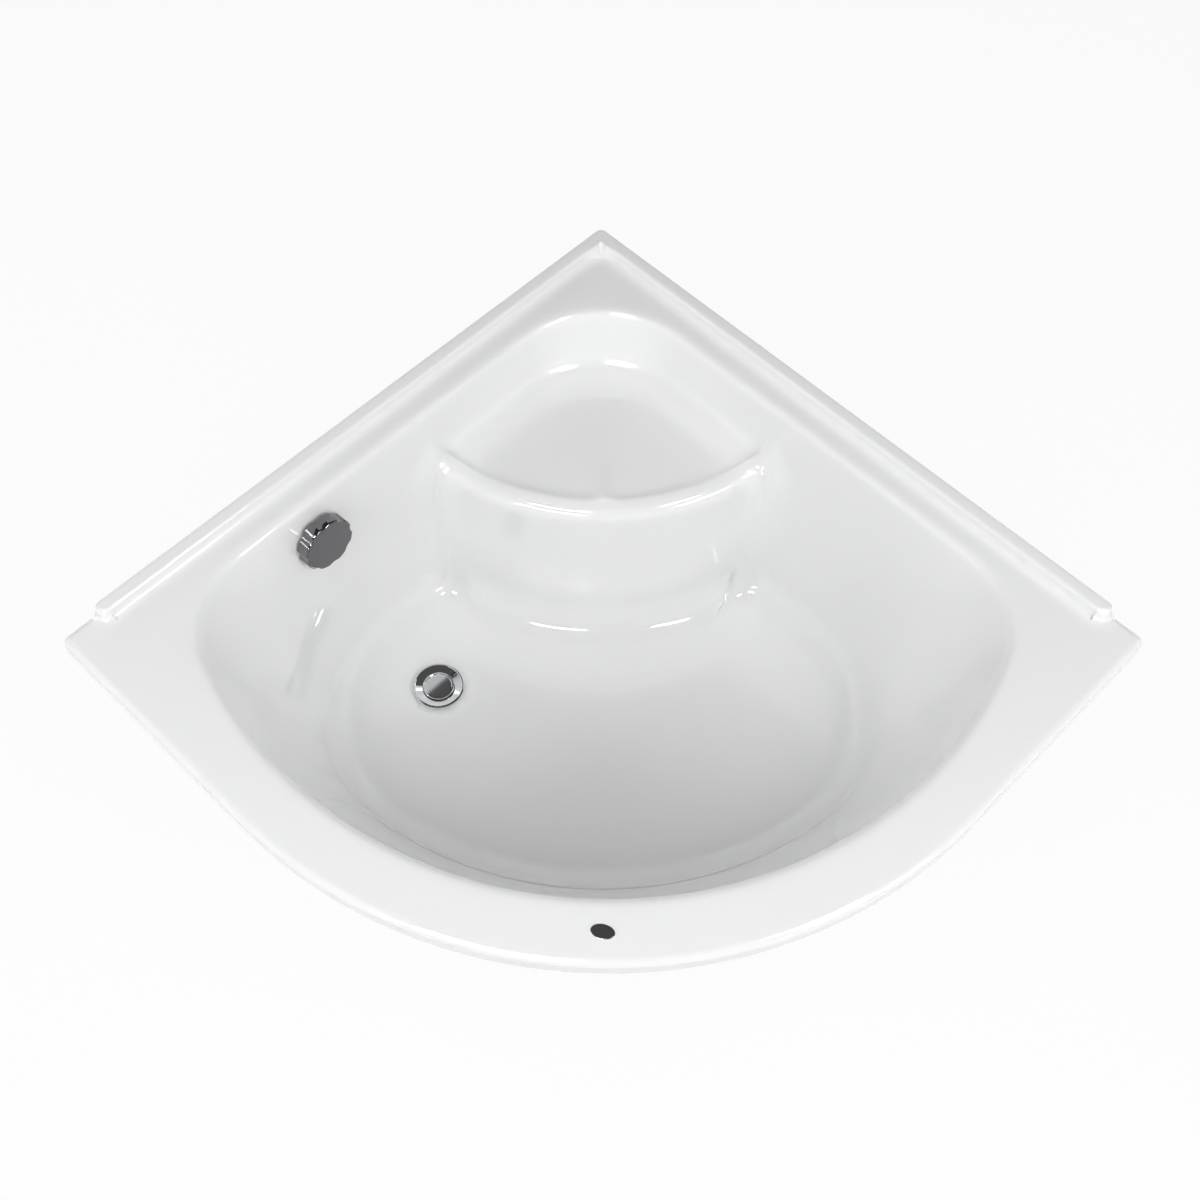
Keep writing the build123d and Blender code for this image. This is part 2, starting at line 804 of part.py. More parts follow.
# Levelling feet: each stud is screwed through a nut in its box section and clipped into its pad
stud_floor = pad_thickness / 2
thread_bore = stud_radius + thread_clearance
for name, (x, y, level) in foot_places.items():
    axis = upright(x, y)
    stud_top = level + tube_wall + nut_height + foot_travel + stud_spare
    with BuildPart() as leg_stud:
        add(ring(axis, 0, stud_radius, stud_floor, stud_top))
        chamfer(leg_stud.edges().sort_by(Axis.Z)[-1], stud_chamfer)
    leg_stud.part.label = f"leg_stud_{name}"
    export_step(leg_stud.part, f"parts/leg_stud_{name}.step")

    with BuildPart() as foot_pad:
        pad_top = pad_thickness + pad_boss_height
        socket = stud_radius + pad_socket_clearance
        add(
            turned(
                axis,
                (0, 0),
                (pad_radius - pad_edge, 0),
                (pad_radius, pad_edge),
                (pad_radius, pad_thickness - pad_bevel),
                (pad_radius - pad_bevel, pad_thickness),
                (pad_boss_radius, pad_thickness + pad_boss_rise),
                (pad_boss_radius, pad_top),
                (socket, pad_top),
                (socket, stud_floor),
                (0, stud_floor),
            )
        )
    foot_pad.part.label = f"foot_pad_{name}"
    export_step(foot_pad.part, f"parts/foot_pad_{name}.step")

with BuildPart() as leg_weld_nuts:
    for x, y, level in foot_places.values():
        low = level + tube_wall
        add(hexagon_nut(upright(x, y), thread_bore, nut_flats, low, low + nut_height))
leg_weld_nuts.part.label = "leg_weld_nuts"
export_step(leg_weld_nuts.part, "parts/leg_weld_nuts.step")

with BuildPart() as leg_lock_nuts:
    for x, y, level in foot_places.values():
        add(hexagon_nut(upright(x, y), thread_bore, nut_flats, level - nut_height, level))
leg_lock_nuts.part.label = "leg_lock_nuts"
export_step(leg_lock_nuts.part, "parts/leg_lock_nuts.step")

# Levels of the drain, from the recess in the floor downwards
flange_bottom = recess_level + waste_seal_thickness
flange_top = flange_bottom + flange_height
plug_seat = flange_top - plug_seat_depth
neck_bottom = flange_bottom - neck_length
neck_bore = neck_radius - neck_wall
body_top = drain_under - body_seal_thickness
body_bore = neck_radius + fit_gap
body_radius = body_bore + body_wall
body_inside_floor = body_top - body_depth
body_bottom = body_inside_floor - body_floor
outlet_neck_bottom = body_bottom - outlet_neck_length
guide_top = body_top - guide_drop
branch_z = body_top - branch_drop

# Direction in plan from the drain to the foot of the overflow hose
hose_top_centre = overflow.from_local_coords((0, 0, -spigot_back))
to_hose = Vector(hose_top_centre.X - drain_x, hose_top_centre.Y - drain_y, 0).normalized()
to_cable = Vector(math.cos(math.radians(cable_angle)), math.sin(math.radians(cable_angle)), 0)
branch = Plane((drain_x, drain_y, branch_z), x_dir=(0, 0, 1), z_dir=to_hose)

# Rocker: its plane holds the plug's axis and the cable's direction
rocker_z = body_top - rocker_drop
rocker_pivot = Vector(drain_x, drain_y, rocker_z) + to_cable * rocker_arm
rocker_plane = Plane(rocker_pivot, x_dir=to_cable, z_dir=to_cable.cross(Vector(0, 0, 1)))
rocker_rest = rocker_swing / 2
tip_z = rocker_z - rocker_arm * math.sin(rocker_rest)
lifter_bottom = tip_z + rocker_tip_radius + rocker_gap
crank_z = rocker_z - rocker_crank
gland = Plane((drain_x, drain_y, crank_z), x_dir=(0, 0, 1), z_dir=to_cable)
lug_start = rocker_half_width + lug_gap

with BuildPart() as drain_flange_seal:
    seal_bore = neck_radius + seal_bore_clearance
    add(ring(drain, seal_bore, flange_radius - waste_seal_inset, recess_level, flange_bottom))
drain_flange_seal.part.label = "drain_flange_seal"
export_step(drain_flange_seal.part, "parts/drain_flange_seal.step")

with BuildPart() as drain_flange:
    add(
        turned(
            drain,
            (plug_seat_radius, flange_bottom + flange_lip),
            (plug_seat_radius, plug_seat),
            (flange_bore, plug_seat),
            (flange_bore, plug_seat - flange_step),
            (neck_bore, plug_seat - flange_step),
            (neck_bore, neck_bottom),
            (neck_radius, neck_bottom),
            (neck_radius, flange_bottom),
            (flange_radius, flange_bottom),
            (flange_radius, flange_top - flange_edge),
            (flange_radius - flange_edge / 3, flange_top - flange_edge / 3),
            (flange_radius - flange_edge, flange_top),
            (dish_radius + flange_lip, flange_top),
            (dish_radius, flange_top - flange_lip_drop),
        )
    )
drain_flange.part.label = "drain_flange"
export_step(drain_flange.part, "parts/drain_flange.step")

with BuildPart() as drain_body_seal:
    seal_bore = neck_radius + seal_bore_clearance
    add(ring(drain, seal_bore, body_flange_radius - waste_seal_inset, body_top, drain_under))
drain_body_seal.part.label = "drain_body_seal"
export_step(drain_body_seal.part, "parts/drain_body_seal.step")

# Body under the floor, with the plug's guide, the rocker's lugs and the overflow branch
boss_reach = body_radius + gland_seat
with BuildPart() as drain_body:
    outlet_bore = outlet_neck_radius - outlet_neck_wall
    add(
        turned(
            drain,
            (outlet_bore, outlet_neck_bottom),
            (outlet_neck_radius, outlet_neck_bottom),
            (outlet_neck_radius, body_bottom),
            (body_radius, body_bottom),
            (body_radius, body_top - body_flange_thickness),
            (body_flange_radius, body_top - body_flange_thickness),
            (body_flange_radius, body_top),
            (body_bore, body_top),
            (body_bore, body_inside_floor),
            (outlet_bore, body_inside_floor),
        )
    )
    spigot_bore = spigot_radius - spigot_wall
    add(ring(branch, 0, spigot_radius, body_bore + overcut, branch_reach))
    add(ring(branch, 0, spigot_bore, body_bore - 2 * overcut, branch_reach), mode=Mode.SUBTRACT)
    add(ring(gland, 0, gland_radius, body_bore + overcut, boss_reach))
    add(ring(gland, 0, cable_wire_radius, body_bore - overcut, boss_reach), mode=Mode.SUBTRACT)
    guide_boss = lifter_radius + guide_wall
    with Locations((drain_x, drain_y, guide_top - guide_height / 2)):
        with PolarLocations((body_bore + guide_boss) / 2, 3, start_angle=cable_angle):
            Box(body_bore - guide_boss + socket_overlap, spider_width, guide_height)
    add(ring(drain, lifter_radius + running_gap, guide_boss, guide_top - guide_height, guide_top))
    for side in (-1, 1):
        with BuildSketch(rocker_plane.offset(side * lug_start)):
            with BuildLine():
                reach = body_bore + lug_overlap - rocker_arm
                Polyline(
                    (-lug_overhang, -lug_half_height),
                    (reach, -lug_half_height),
                    (reach, lug_half_height),
                    (-lug_overhang, lug_half_height),
                    close=True,
                )
            make_face()
            Circle(pin_radius + thread_clearance, mode=Mode.SUBTRACT)
        extrude(amount=side * lug_thickness)
drain_body.part.label = "drain_body"
export_step(drain_body.part, "parts/drain_body.step")

# Plug: cap, seal and stem
plug_seal_bottom = plug_seat + fit_gap
cap_bottom = plug_seal_bottom + plug_seal_thickness
cap_top = cap_bottom + plug_height
boss_bottom = cap_bottom - plug_boss_length
boss_floor = cap_bottom - plug_boss_floor
with BuildPart() as plug_cap:
    cap_radius = plug_seat_radius - fit_gap
    add(
        turned(
            drain,
            (0, boss_floor),
            (plug_stem_radius + stem_clearance, boss_floor),
            (plug_stem_radius + stem_clearance, boss_bottom),
            (plug_boss_radius, boss_bottom),
            (plug_boss_radius, cap_bottom),
            (cap_radius, cap_bottom),
            (cap_radius, cap_top - plug_edge),
            (cap_radius - plug_edge, cap_top),
            (cap_radius - 2 * plug_rim, cap_top),
            (cap_radius - 2.2 * plug_rim, cap_top - plug_groove),
            (cap_radius - 3 * plug_rim, cap_top - plug_dip),
            (0, cap_top - plug_dip),
        )
    )
plug_cap.part.label = "plug_cap"
export_step(plug_cap.part, "parts/plug_cap.step")

with BuildPart() as plug_seal:
    seal_outer = plug_seat_radius - plug_seal_inset
    add(ring(drain, seal_outer - plug_seal_width, seal_outer, plug_seal_bottom, cap_bottom))
plug_seal.part.label = "plug_seal"
export_step(plug_seal.part, "parts/plug_seal.step")

lifter_head_bottom = guide_top + lifter_head_rise
lifter_socket = lifter_head_bottom + lifter_head_floor
lifter_top = lifter_socket + lifter_socket_depth
with BuildPart() as plug_stem:
    add(ring(drain, 0, plug_stem_radius, lifter_socket + fit_gap, boss_floor - stem_clearance))
plug_stem.part.label = "plug_stem"
export_step(plug_stem.part, "parts/plug_stem.step")

with BuildPart() as lifter:
    add(
        turned(
            drain,
            (0, lifter_bottom),
            (lifter_radius, lifter_bottom),
            (lifter_radius, lifter_head_bottom),
            (lifter_head_radius, lifter_head_bottom),
            (lifter_head_radius, lifter_top),
            (plug_stem_radius + running_gap, lifter_top),
            (plug_stem_radius + running_gap, lifter_socket),
            (0, lifter_socket),
        )
    )
lifter.part.label = "lifter"
export_step(lifter.part, "parts/lifter.step")

# Rocker that turns the cable's pull into lift
with BuildPart() as lift_rocker:
    with BuildSketch(rocker_plane.offset(-rocker_half_width)):
        tip = (-rocker_arm * math.cos(rocker_rest), -rocker_arm * math.sin(rocker_rest))
        Circle(rocker_hub_radius)
        with Locations(tip):
            Circle(rocker_tip_radius)
        with Locations(Location((tip[0] / 2, tip[1] / 2, 0), (0, 0, math.degrees(rocker_rest)))):
            Rectangle(rocker_arm, rocker_web)
        with Locations((0, -rocker_crank / 2)):
            Rectangle(rocker_web, rocker_crank)
        Circle(pin_radius + running_gap, mode=Mode.SUBTRACT)
    extrude(amount=2 * rocker_half_width)
lift_rocker.part.label = "lift_rocker"
export_step(lift_rocker.part, "parts/lift_rocker.step")

with BuildPart() as rocker_pin:
    pin_half = lug_start + lug_thickness
    add(ring(rocker_plane, 0, pin_radius, -pin_half, pin_half))
rocker_pin.part.label = "rocker_pin"
export_step(rocker_pin.part, "parts/rocker_pin.step")

# Trap, hung from the body's neck
trap_top = outlet_neck_bottom - dip_flange - hole_clearance
trap_bottom = trap_top - trap_height
collar_bore = outlet_neck_radius + fit_gap
collar_radius = collar_bore + trap_collar_wall
collar_top = trap_top + trap_collar_height
outlet = Plane((drain_x, drain_y, trap_top - outlet_drop), x_dir=(0, 0, 1), z_dir=(-1, 0, 0))
pipe_start = outlet_socket_reach - outlet_socket_depth
with BuildPart() as trap_body:
    inside = trap_radius - trap_wall
    add(
        turned(
            drain,
            (trap_cap_plug_radius + fit_gap, trap_bottom),
            (trap_radius, trap_bottom),
            (trap_radius, trap_top),
            (collar_radius, trap_top),
            (collar_radius, collar_top),
            (collar_bore, collar_top),
            (collar_bore, trap_top),
            (dip_radius + dip_clearance, trap_top),
            (dip_radius + dip_clearance, trap_top - trap_wall),
            (inside, trap_top - trap_wall),
            (inside, trap_bottom + trap_wall),
            (trap_cap_plug_radius + fit_gap, trap_bottom + trap_wall),
        )
    )
    socket_bore = outlet_radius + fit_gap
    socket_start = inside - socket_overlap
    weir_width = 2 * math.sqrt(inside**2 - weir_offset**2) + socket_overlap
    add(ring(outlet, 0, socket_bore + outlet_socket_wall, socket_start, outlet_socket_reach))
    with Locations((drain_x - weir_offset, drain_y, trap_bottom + overcut + weir_height / 2)):
        Box(weir_wall, weir_width, weir_height)
    way_out = ring(outlet, 0, outlet_radius - outlet_wall, weir_offset + weir_wall, pipe_start)
    add(way_out, mode=Mode.SUBTRACT)
    add(ring(outlet, 0, socket_bore, pipe_start, outlet_socket_reach), mode=Mode.SUBTRACT)
trap_body.part.label = "trap_body"
export_step(trap_body.part, "parts/trap_body.step")

with BuildPart() as trap_washer:
    washer_bore = outlet_neck_radius + hole_clearance
    add(ring(drain, washer_bore, collar_radius, collar_top, collar_top + washer_height))
trap_washer.part.label = "trap_washer"
export_step(trap_washer.part, "parts/trap_washer.step")

with BuildPart() as trap_nut:
    washer_top = collar_top + washer_height
    nut_bore = collar_radius + fit_gap
    add(
        turned(
            drain,
            (nut_bore, trap_top + nut_stand_off),
            (nut_bore + nut_wall, trap_top + nut_stand_off),
            (nut_bore + nut_wall, washer_top + nut_lip),
            (collar_bore, washer_top + nut_lip),
            (collar_bore, washer_top),
            (nut_bore, washer_top),
        )
    )
trap_nut.part.label = "trap_nut"
export_step(trap_nut.part, "parts/trap_nut.step")

with BuildPart() as trap_dip_tube:
    dip_bore = dip_radius - dip_wall
    add(
        turned(
            drain,
            (dip_bore, trap_top - dip_length),
            (dip_radius, trap_top - dip_length),
            (dip_radius, trap_top),
            (outlet_neck_radius, trap_top),
            (outlet_neck_radius, trap_top + dip_flange),
            (dip_bore, trap_top + dip_flange),
        )
    )
trap_dip_tube.part.label = "trap_dip_tube"
export_step(trap_dip_tube.part, "parts/trap_dip_tube.step")

with BuildPart() as trap_cap:
    cap_flange_top = trap_bottom - trap_cap_seal_thickness
    cap_flange_bottom = cap_flange_top - trap_cap_thickness
    cap_inside = trap_cap_plug_radius - trap_cap_wall
    cap_plug_top = trap_bottom + trap_cap_plug_height
    cap_floor = cap_flange_bottom + trap_cap_floor
    add(
        turned(
            drain,
            (0, cap_flange_bottom),
            (trap_cap_radius, cap_flange_bottom),
            (trap_cap_radius, cap_flange_top),
            (trap_cap_plug_radius, cap_flange_top),
            (trap_cap_plug_radius, cap_plug_top),
            (cap_inside, cap_plug_top),
            (cap_inside, cap_floor),
            (0, cap_floor),
        )
    )
trap_cap.part.label = "trap_cap"
export_step(trap_cap.part, "parts/trap_cap.step")

with BuildPart() as trap_cap_seal:
    add(ring(drain, trap_cap_plug_radius + fit_gap, trap_cap_radius, cap_flange_top, trap_bottom))
trap_cap_seal.part.label = "trap_cap_seal"
export_step(trap_cap_seal.part, "parts/trap_cap_seal.step")

with BuildPart() as outlet_nut:
    socket_outer = socket_bore + outlet_socket_wall + fit_gap
    lip_start = outlet_socket_reach + overcut
    nut_start = lip_start - outlet_nut_length
    add(
        turned(
            outlet,
            (socket_outer, nut_start),
            (socket_outer + nut_wall, nut_start),
            (socket_outer + nut_wall, lip_start + nut_lip),
            (socket_bore, lip_start + nut_lip),
            (socket_bore, lip_start),
            (socket_outer, lip_start),
        )
    )
outlet_nut.part.label = "outlet_nut"
export_step(outlet_nut.part, "parts/outlet_nut.step")

# The pipe's end in the socket is a little narrower than the free end
with BuildPart() as outlet_pipe:
    pipe_low = pipe_start + fit_gap
    pipe_step = pipe_low + outlet_spigot_length
    pipe_end = pipe_low + outlet_length
    pipe_bore = outlet_radius - outlet_wall
    add(
        turned(
            outlet,
            (pipe_bore, pipe_low),
            (outlet_radius - outlet_spigot_step, pipe_low),
            (outlet_radius - outlet_spigot_step, pipe_step),
            (outlet_radius, pipe_step),
            (outlet_radius, pipe_end),
            (pipe_bore, pipe_end),
        )
    )
outlet_pipe.part.label = "outlet_pipe"
export_step(outlet_pipe.part, "parts/outlet_pipe.step")

# Overflow: bezel through the wall, seal and body behind it
seal_front = -laminate - fit_gap
seal_back = seal_front - overflow_seal_thickness
cup_back = seal_back - overflow_flange_thickness - overflow_cup_depth
bezel_front = bezel_gap + bezel_thickness
bezel_bore = bezel_neck_radius - bezel_neck_wall
with BuildPart() as overflow_bezel:
    add(
        turned(
            overflow,
            (bezel_neck_radius, bezel_gap),
            (bezel_radius, bezel_gap),
            (bezel_radius, bezel_front - bezel_edge),
            (bezel_radius - bezel_edge, bezel_front),
            (bezel_bore, bezel_front),
            (bezel_bore, -bezel_neck_length),
            (bezel_neck_radius, -bezel_neck_length),
        )
    )
    boss_back = bezel_front - bezel_boss_length
    with Locations(overflow.offset((boss_back + bezel_front) / 2)):
        with PolarLocations((bezel_bore + bezel_boss_radius) / 2, 3):
            Box(bezel_bore - bezel_boss_radius + socket_overlap, spider_width, bezel_boss_length)
    add(ring(overflow, spindle_radius + running_gap, bezel_boss_radius, boss_back, bezel_front))
overflow_bezel.part.label = "overflow_bezel"
export_step(overflow_bezel.part, "parts/overflow_bezel.step")

with BuildPart() as overflow_seal:
    add(ring(overflow, overflow_hole_radius + fit_gap, overflow_flange_radius, seal_back, seal_front))
overflow_seal.part.label = "overflow_seal"
export_step(overflow_seal.part, "parts/overflow_seal.step")

hose_axis = Plane(hose_top_centre)
cable_gland_plane = Plane(
    overflow.from_local_coords((0, -crank_arm, -gland_back)),
    x_dir=(0, 0, 1),
    z_dir=(-half, -half, 0),
)
with BuildPart() as overflow_body:
    cup_bore = overflow_cup_radius - overflow_cup_wall
    bezel_thread = bezel_neck_radius + fit_gap
    add(
        turned(
            overflow,
            (bezel_thread, seal_back),
            (overflow_flange_radius, seal_back),
            (overflow_flange_radius, seal_back - overflow_flange_thickness),
            (overflow_cup_radius, seal_back - overflow_flange_thickness),
            (overflow_cup_radius, cup_back),
            (0, cup_back),
            (0, cup_back + overflow_cup_wall),
            (cup_bore, cup_back + overflow_cup_wall),
            (cup_bore, -bezel_neck_length - thread_run_out),
            (bezel_thread, -bezel_neck_length - thread_run_out),
        )
    )
    spigot_end = -overflow_cup_radius - spigot_length
    gland_end = overflow_cup_radius + overcut
    gland_start = cup_bore - gland_radius
    add(ring(hose_axis, 0, spigot_radius, spigot_end, overcut - cup_bore))
    add(ring(hose_axis, 0, spigot_bore, spigot_end, 5 * overcut - cup_bore), mode=Mode.SUBTRACT)
    add(ring(cable_gland_plane, 0, gland_radius, gland_start, gland_end))
    wire_way = ring(cable_gland_plane, 0, cable_wire_radius, gland_start - 3 * overcut, gland_end)
    add(wire_way, mode=Mode.SUBTRACT)
overflow_body.part.label = "overflow_body"
export_step(overflow_body.part, "parts/overflow_body.step")

# Knob with shallow scallops, its spindle and the crank that pulls the cable
knob_back = knob_standoff
knob_front = knob_back + knob_thickness
with BuildPart() as overflow_knob:
    with BuildSketch(overflow.offset(knob_back)):
        Circle(knob_radius)
        scallop_place = knob_radius + knob_scallop_radius - knob_scallop_depth
        with PolarLocations(scallop_place, knob_lobes):
            Circle(knob_scallop_radius, mode=Mode.SUBTRACT)
    extrude(amount=knob_thickness)
    front_face = overflow_knob.faces().sort_by(Axis(overflow.origin, overflow.z_dir))[-1]
    fillet(front_face.edges(), knob_edge_radius)
    bore_depth = knob_front - knob_face_thickness
    knob_bore = spindle_radius + knob_bore_clearance
    add(ring(overflow, 0, knob_bore, knob_back, bore_depth), mode=Mode.SUBTRACT)
overflow_knob.part.label = "overflow_knob"
export_step(overflow_knob.part, "parts/overflow_knob.step")

crank_front = crank_thickness / 2 - gland_back
spindle_back = crank_front - crank_thickness - spindle_overhang
with BuildPart() as knob_spindle:
    add(ring(overflow, 0, spindle_radius, spindle_back, bore_depth - fit_gap))
knob_spindle.part.label = "knob_spindle"
export_step(knob_spindle.part, "parts/knob_spindle.step")

with BuildPart() as cable_crank:
    with BuildSketch(overflow.offset(crank_front - crank_thickness)):
        Circle(crank_hub_radius)
        with Locations((0, -crank_arm / 2)):
            Rectangle(2 * crank_tip_radius, crank_arm)
        with Locations((0, -crank_arm)):
            Circle(crank_tip_radius)
        Circle(knob_bore, mode=Mode.SUBTRACT)
    extrude(amount=crank_thickness)
cable_crank.part.label = "cable_crank"
export_step(cable_crank.part, "parts/cable_crank.step")

# Ribbed overflow hose from the overflow's spigot down and across to the drain's branch
hose_top_z = hose_top_centre.Z - overflow_cup_radius - hose_end_gap
hose_start = Vector(hose_top_centre.X, hose_top_centre.Y, hose_top_z)
hose_corner = Vector(hose_top_centre.X, hose_top_centre.Y, branch_z)
hose_end = Vector(drain_x, drain_y, branch_z) + to_hose * (branch_reach - spigot_length + hose_end_gap)
hose_side = to_hose.cross(Vector(0, 0, 1))
with BuildLine() as hose_line:
    FilletPolyline(hose_start, hose_corner, hose_end, radius=hose_bend_radius)
hose_path = Wire(hose_line.line.edges())
rib_count = int(hose_path.length / hose_pitch)
rib_circles = ((0.0, hose_valley), (0.25, hose_crest), (0.65, hose_crest), (0.9, hose_valley))
with BuildPart() as overflow_hose:
    for rib in range(rib_count):
        for share, radius in rib_circles:
            place = (rib + share) / rib_count
            here = hose_path.position_at(place)
            with BuildSketch(Plane(here, x_dir=hose_side, z_dir=hose_path.tangent_at(place))):
                Circle(radius)
    with BuildSketch(Plane(hose_path.position_at(1), x_dir=hose_side, z_dir=to_hose)):
        Circle(hose_valley)
    loft(ruled=True)
    with BuildSketch(Plane(hose_start, x_dir=hose_side, z_dir=(0, 0, -1))):
        Circle(hose_bore)
    sweep(path=hose_path, mode=Mode.SUBTRACT)
overflow_hose.part.label = "overflow_hose"
export_step(overflow_hose.part, "parts/overflow_hose.step")
print("hose", rib_count, "ribs, length", hose_path.length)

for name, nut_plane in (
    ("upper", Plane(hose_start, x_dir=hose_side, z_dir=(0, 0, -1))),
    ("lower", Plane(hose_end, x_dir=hose_side, z_dir=to_hose)),
):
    with BuildPart() as hose_nut:
        add(ring(nut_plane, hose_crest + fit_gap, hose_nut_radius, hose_nut_start, hose_nut_length))
    hose_nut.part.label = f"hose_nut_{name}"
    export_step(hose_nut.part, f"parts/hose_nut_{name}.step")

# Control cable from the overflow's gland, down outside the basin and under the floor to the drain
along_wall = Vector(-half, -half, 0)
cable_start = cable_gland_plane.from_local_coords((0, 0, gland_end + cable_insert + fit_gap))
cable_end = gland.from_local_coords((0, 0, boss_reach + cable_insert + fit_gap))
cable_route = [
    cable_start,
    cable_start + along_wall * cable_lead_out,
    *[
        Vector(*wall_point(-1, overflow_along + past, inset), deck_height - below)
        for past, inset, below in cable_places
    ],
    cable_end + to_cable * (cable_lead_in - cable_insert),
    cable_end,
]


def tangent_radii(points):
    """Radius of each arc: 0.45 of the shorter run beside it, over the tangent of half the turn."""
    radii = []
    for before, here, after in zip(points, points[1:], points[2:]):
        run_in = here - before
        run_out = after - here
        turn = math.radians(run_in.get_angle(run_out))
        radii.append(0.45 * min(run_in.length, run_out.length) / math.tan(turn / 2))
    return radii


cable_radii = tangent_radii(cable_route)
print("cable radii", [round(r, 1) for r in cable_radii])
with BuildLine() as cable_line:
    FilletPolyline(*cable_route, radius=cable_radii)
cable_path = Wire(cable_line.line.edges())
with BuildPart() as control_cable:
    with BuildSketch(Plane(cable_start, z_dir=along_wall)):
        Circle(cable_radius)
    sweep(path=cable_path)
control_cable.part.label = "control_cable"
export_step(control_cable.part, "parts/control_cable.step")
cable_section = math.pi * cable_radius**2
print("cable volume over section times length", control_cable.part.volume / cable_section / cable_path.length)

with BuildPart() as cable_glands:
    for place, low in ((cable_gland_plane, gland_end), (gland, boss_reach)):
        sheath_end = low + gland_floor
        add(ring(place, cable_radius + cable_clearance, gland_radius, sheath_end, low + gland_length))
        add(ring(place, cable_wire_radius, gland_radius, low, sheath_end))
cable_glands.part.label = "cable_glands"
export_step(cable_glands.part, "parts/cable_glands.step")
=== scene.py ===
# %% [markdown]
# # A corner shower tray in white acrylic
# The tray is a quarter-round basin of vacuum-formed acrylic with a seat moulded across its wall corner.
# It has a chrome drain with a lifting plug, a scalloped overflow knob and a steel leg frame underneath.
# The CAD parts arrive as fixed meshes. This lesson dresses them: it models the glossy moulding again as one
# smooth surface, and it gives every part a finish.

import json
import math

import bpy
import numpy as np
from mathutils import Matrix, Vector


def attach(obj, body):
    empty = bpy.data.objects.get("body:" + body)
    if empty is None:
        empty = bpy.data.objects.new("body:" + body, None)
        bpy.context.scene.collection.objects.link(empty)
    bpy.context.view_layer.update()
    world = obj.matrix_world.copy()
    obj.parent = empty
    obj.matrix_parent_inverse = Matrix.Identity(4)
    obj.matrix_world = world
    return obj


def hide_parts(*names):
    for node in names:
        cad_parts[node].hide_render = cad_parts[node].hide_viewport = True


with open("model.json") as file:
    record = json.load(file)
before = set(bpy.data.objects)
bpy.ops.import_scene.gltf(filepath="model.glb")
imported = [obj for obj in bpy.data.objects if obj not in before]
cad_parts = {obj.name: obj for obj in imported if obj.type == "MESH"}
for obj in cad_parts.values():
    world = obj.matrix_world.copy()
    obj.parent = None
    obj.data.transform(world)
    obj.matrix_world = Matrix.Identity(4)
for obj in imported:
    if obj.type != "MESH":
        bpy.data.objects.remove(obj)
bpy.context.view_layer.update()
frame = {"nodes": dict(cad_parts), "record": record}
nodes = frame["nodes"]

# %% [markdown]
# ## The sizes that the moulding is worked out from
# They are the tray's own: two straight wall sides of 900 mm at a right angle, and a front arc that is tangent
# to short straight ends. An apex is the farthest point of an arc from the wall corner, along the middle line.
# Everything is in millimetres until it becomes a mesh, in metres.

# %% Sizes of the moulding, in millimetres
HALF = math.sqrt(0.5)
SIDE = 900.0
STRAIGHT = 325.0
FRONT_RADIUS = SIDE - STRAIGHT
APEX = STRAIGHT / HALF + FRONT_RADIUS
CORNER_Y = (APEX + 10.0 * (1 / HALF - 1)) / 2
DECK = 500.0
SKIRT_DEPTH = 24.0
LEDGE_HEIGHT = 18.0
FLOOR = 160.0
SEAT = 410.0
SEAT_APEX = 398.0
SEAT_RADIUS = 340.0
FOOT_APEX = 412.0
FOOT_RADIUS = 300.0
LIP_RADIUS = 13.0
EDGE_RADIUS = 9.0
THICKNESS = 4.6
BACKING_GAP = 0.3
BACKING_THICKNESS = 2.4
WASTE_HOLE = 27.0
OVERFLOW_HOLE = 24.5
DRAIN = (-221.0, CORNER_Y - 512.0)
OVERFLOW_ALONG = 570.0
OVERFLOW_DROP = 66.0
OVERFLOW_DRAFT = 32.0 / 340.0
OVERFLOW_INSET = 56.0 + OVERFLOW_DRAFT * OVERFLOW_DROP
OVERFLOW = np.array(
    [
        -HALF * (OVERFLOW_ALONG - OVERFLOW_INSET),
        CORNER_Y - HALF * (OVERFLOW_ALONG + OVERFLOW_INSET),
        DECK - OVERFLOW_DROP,
    ]
)
MIDDLE = np.array([0.0, CORNER_Y - 615.0])
print("wall corner at y =", round(CORNER_Y, 2), "mm, overflow at", np.round(OVERFLOW, 1))

# %% [markdown]
# ## The camera
# The photograph looks down from in front of the curved side. The camera stands where the tray's outline,
# seat, drain and plate fall on the same places in the picture. Its turn is written as yaw, pitch and roll.


# %% Place the camera
def look_basis(yaw, pitch, roll):
    """Right, down and forward directions of a camera turned by yaw, tilted down by pitch and rolled."""
    ahead = Vector((math.sin(yaw) * math.cos(pitch), math.cos(yaw) * math.cos(pitch), -math.sin(pitch)))
    level = Vector((math.cos(yaw), -math.sin(yaw), 0))
    below = ahead.cross(level)
    right = level * math.cos(roll) + below * math.sin(roll)
    down = -level * math.sin(roll) + below * math.cos(roll)
    return right, down, ahead


view_right, view_down, view_ahead = look_basis(*map(math.radians, (2.63, 58.32, -2.27)))
camera_data = bpy.data.cameras.new("photo_camera")
camera_data.sensor_width = 36.0
camera_data.sensor_fit = "HORIZONTAL"
camera_data.lens = 52.56
camera_data.clip_end = 50
camera = bpy.data.objects.new("photo_camera", camera_data)
bpy.context.scene.collection.objects.link(camera)
turn = Matrix([view_right, -view_down, -view_ahead]).transposed().to_4x4()
camera.matrix_world = Matrix.Translation((-0.058, -1.673 + CORNER_Y / 1000, 2.268)) @ turn
bpy.context.scene.camera = camera
print("camera at", [round(c, 3) for c in camera.matrix_world.translation])

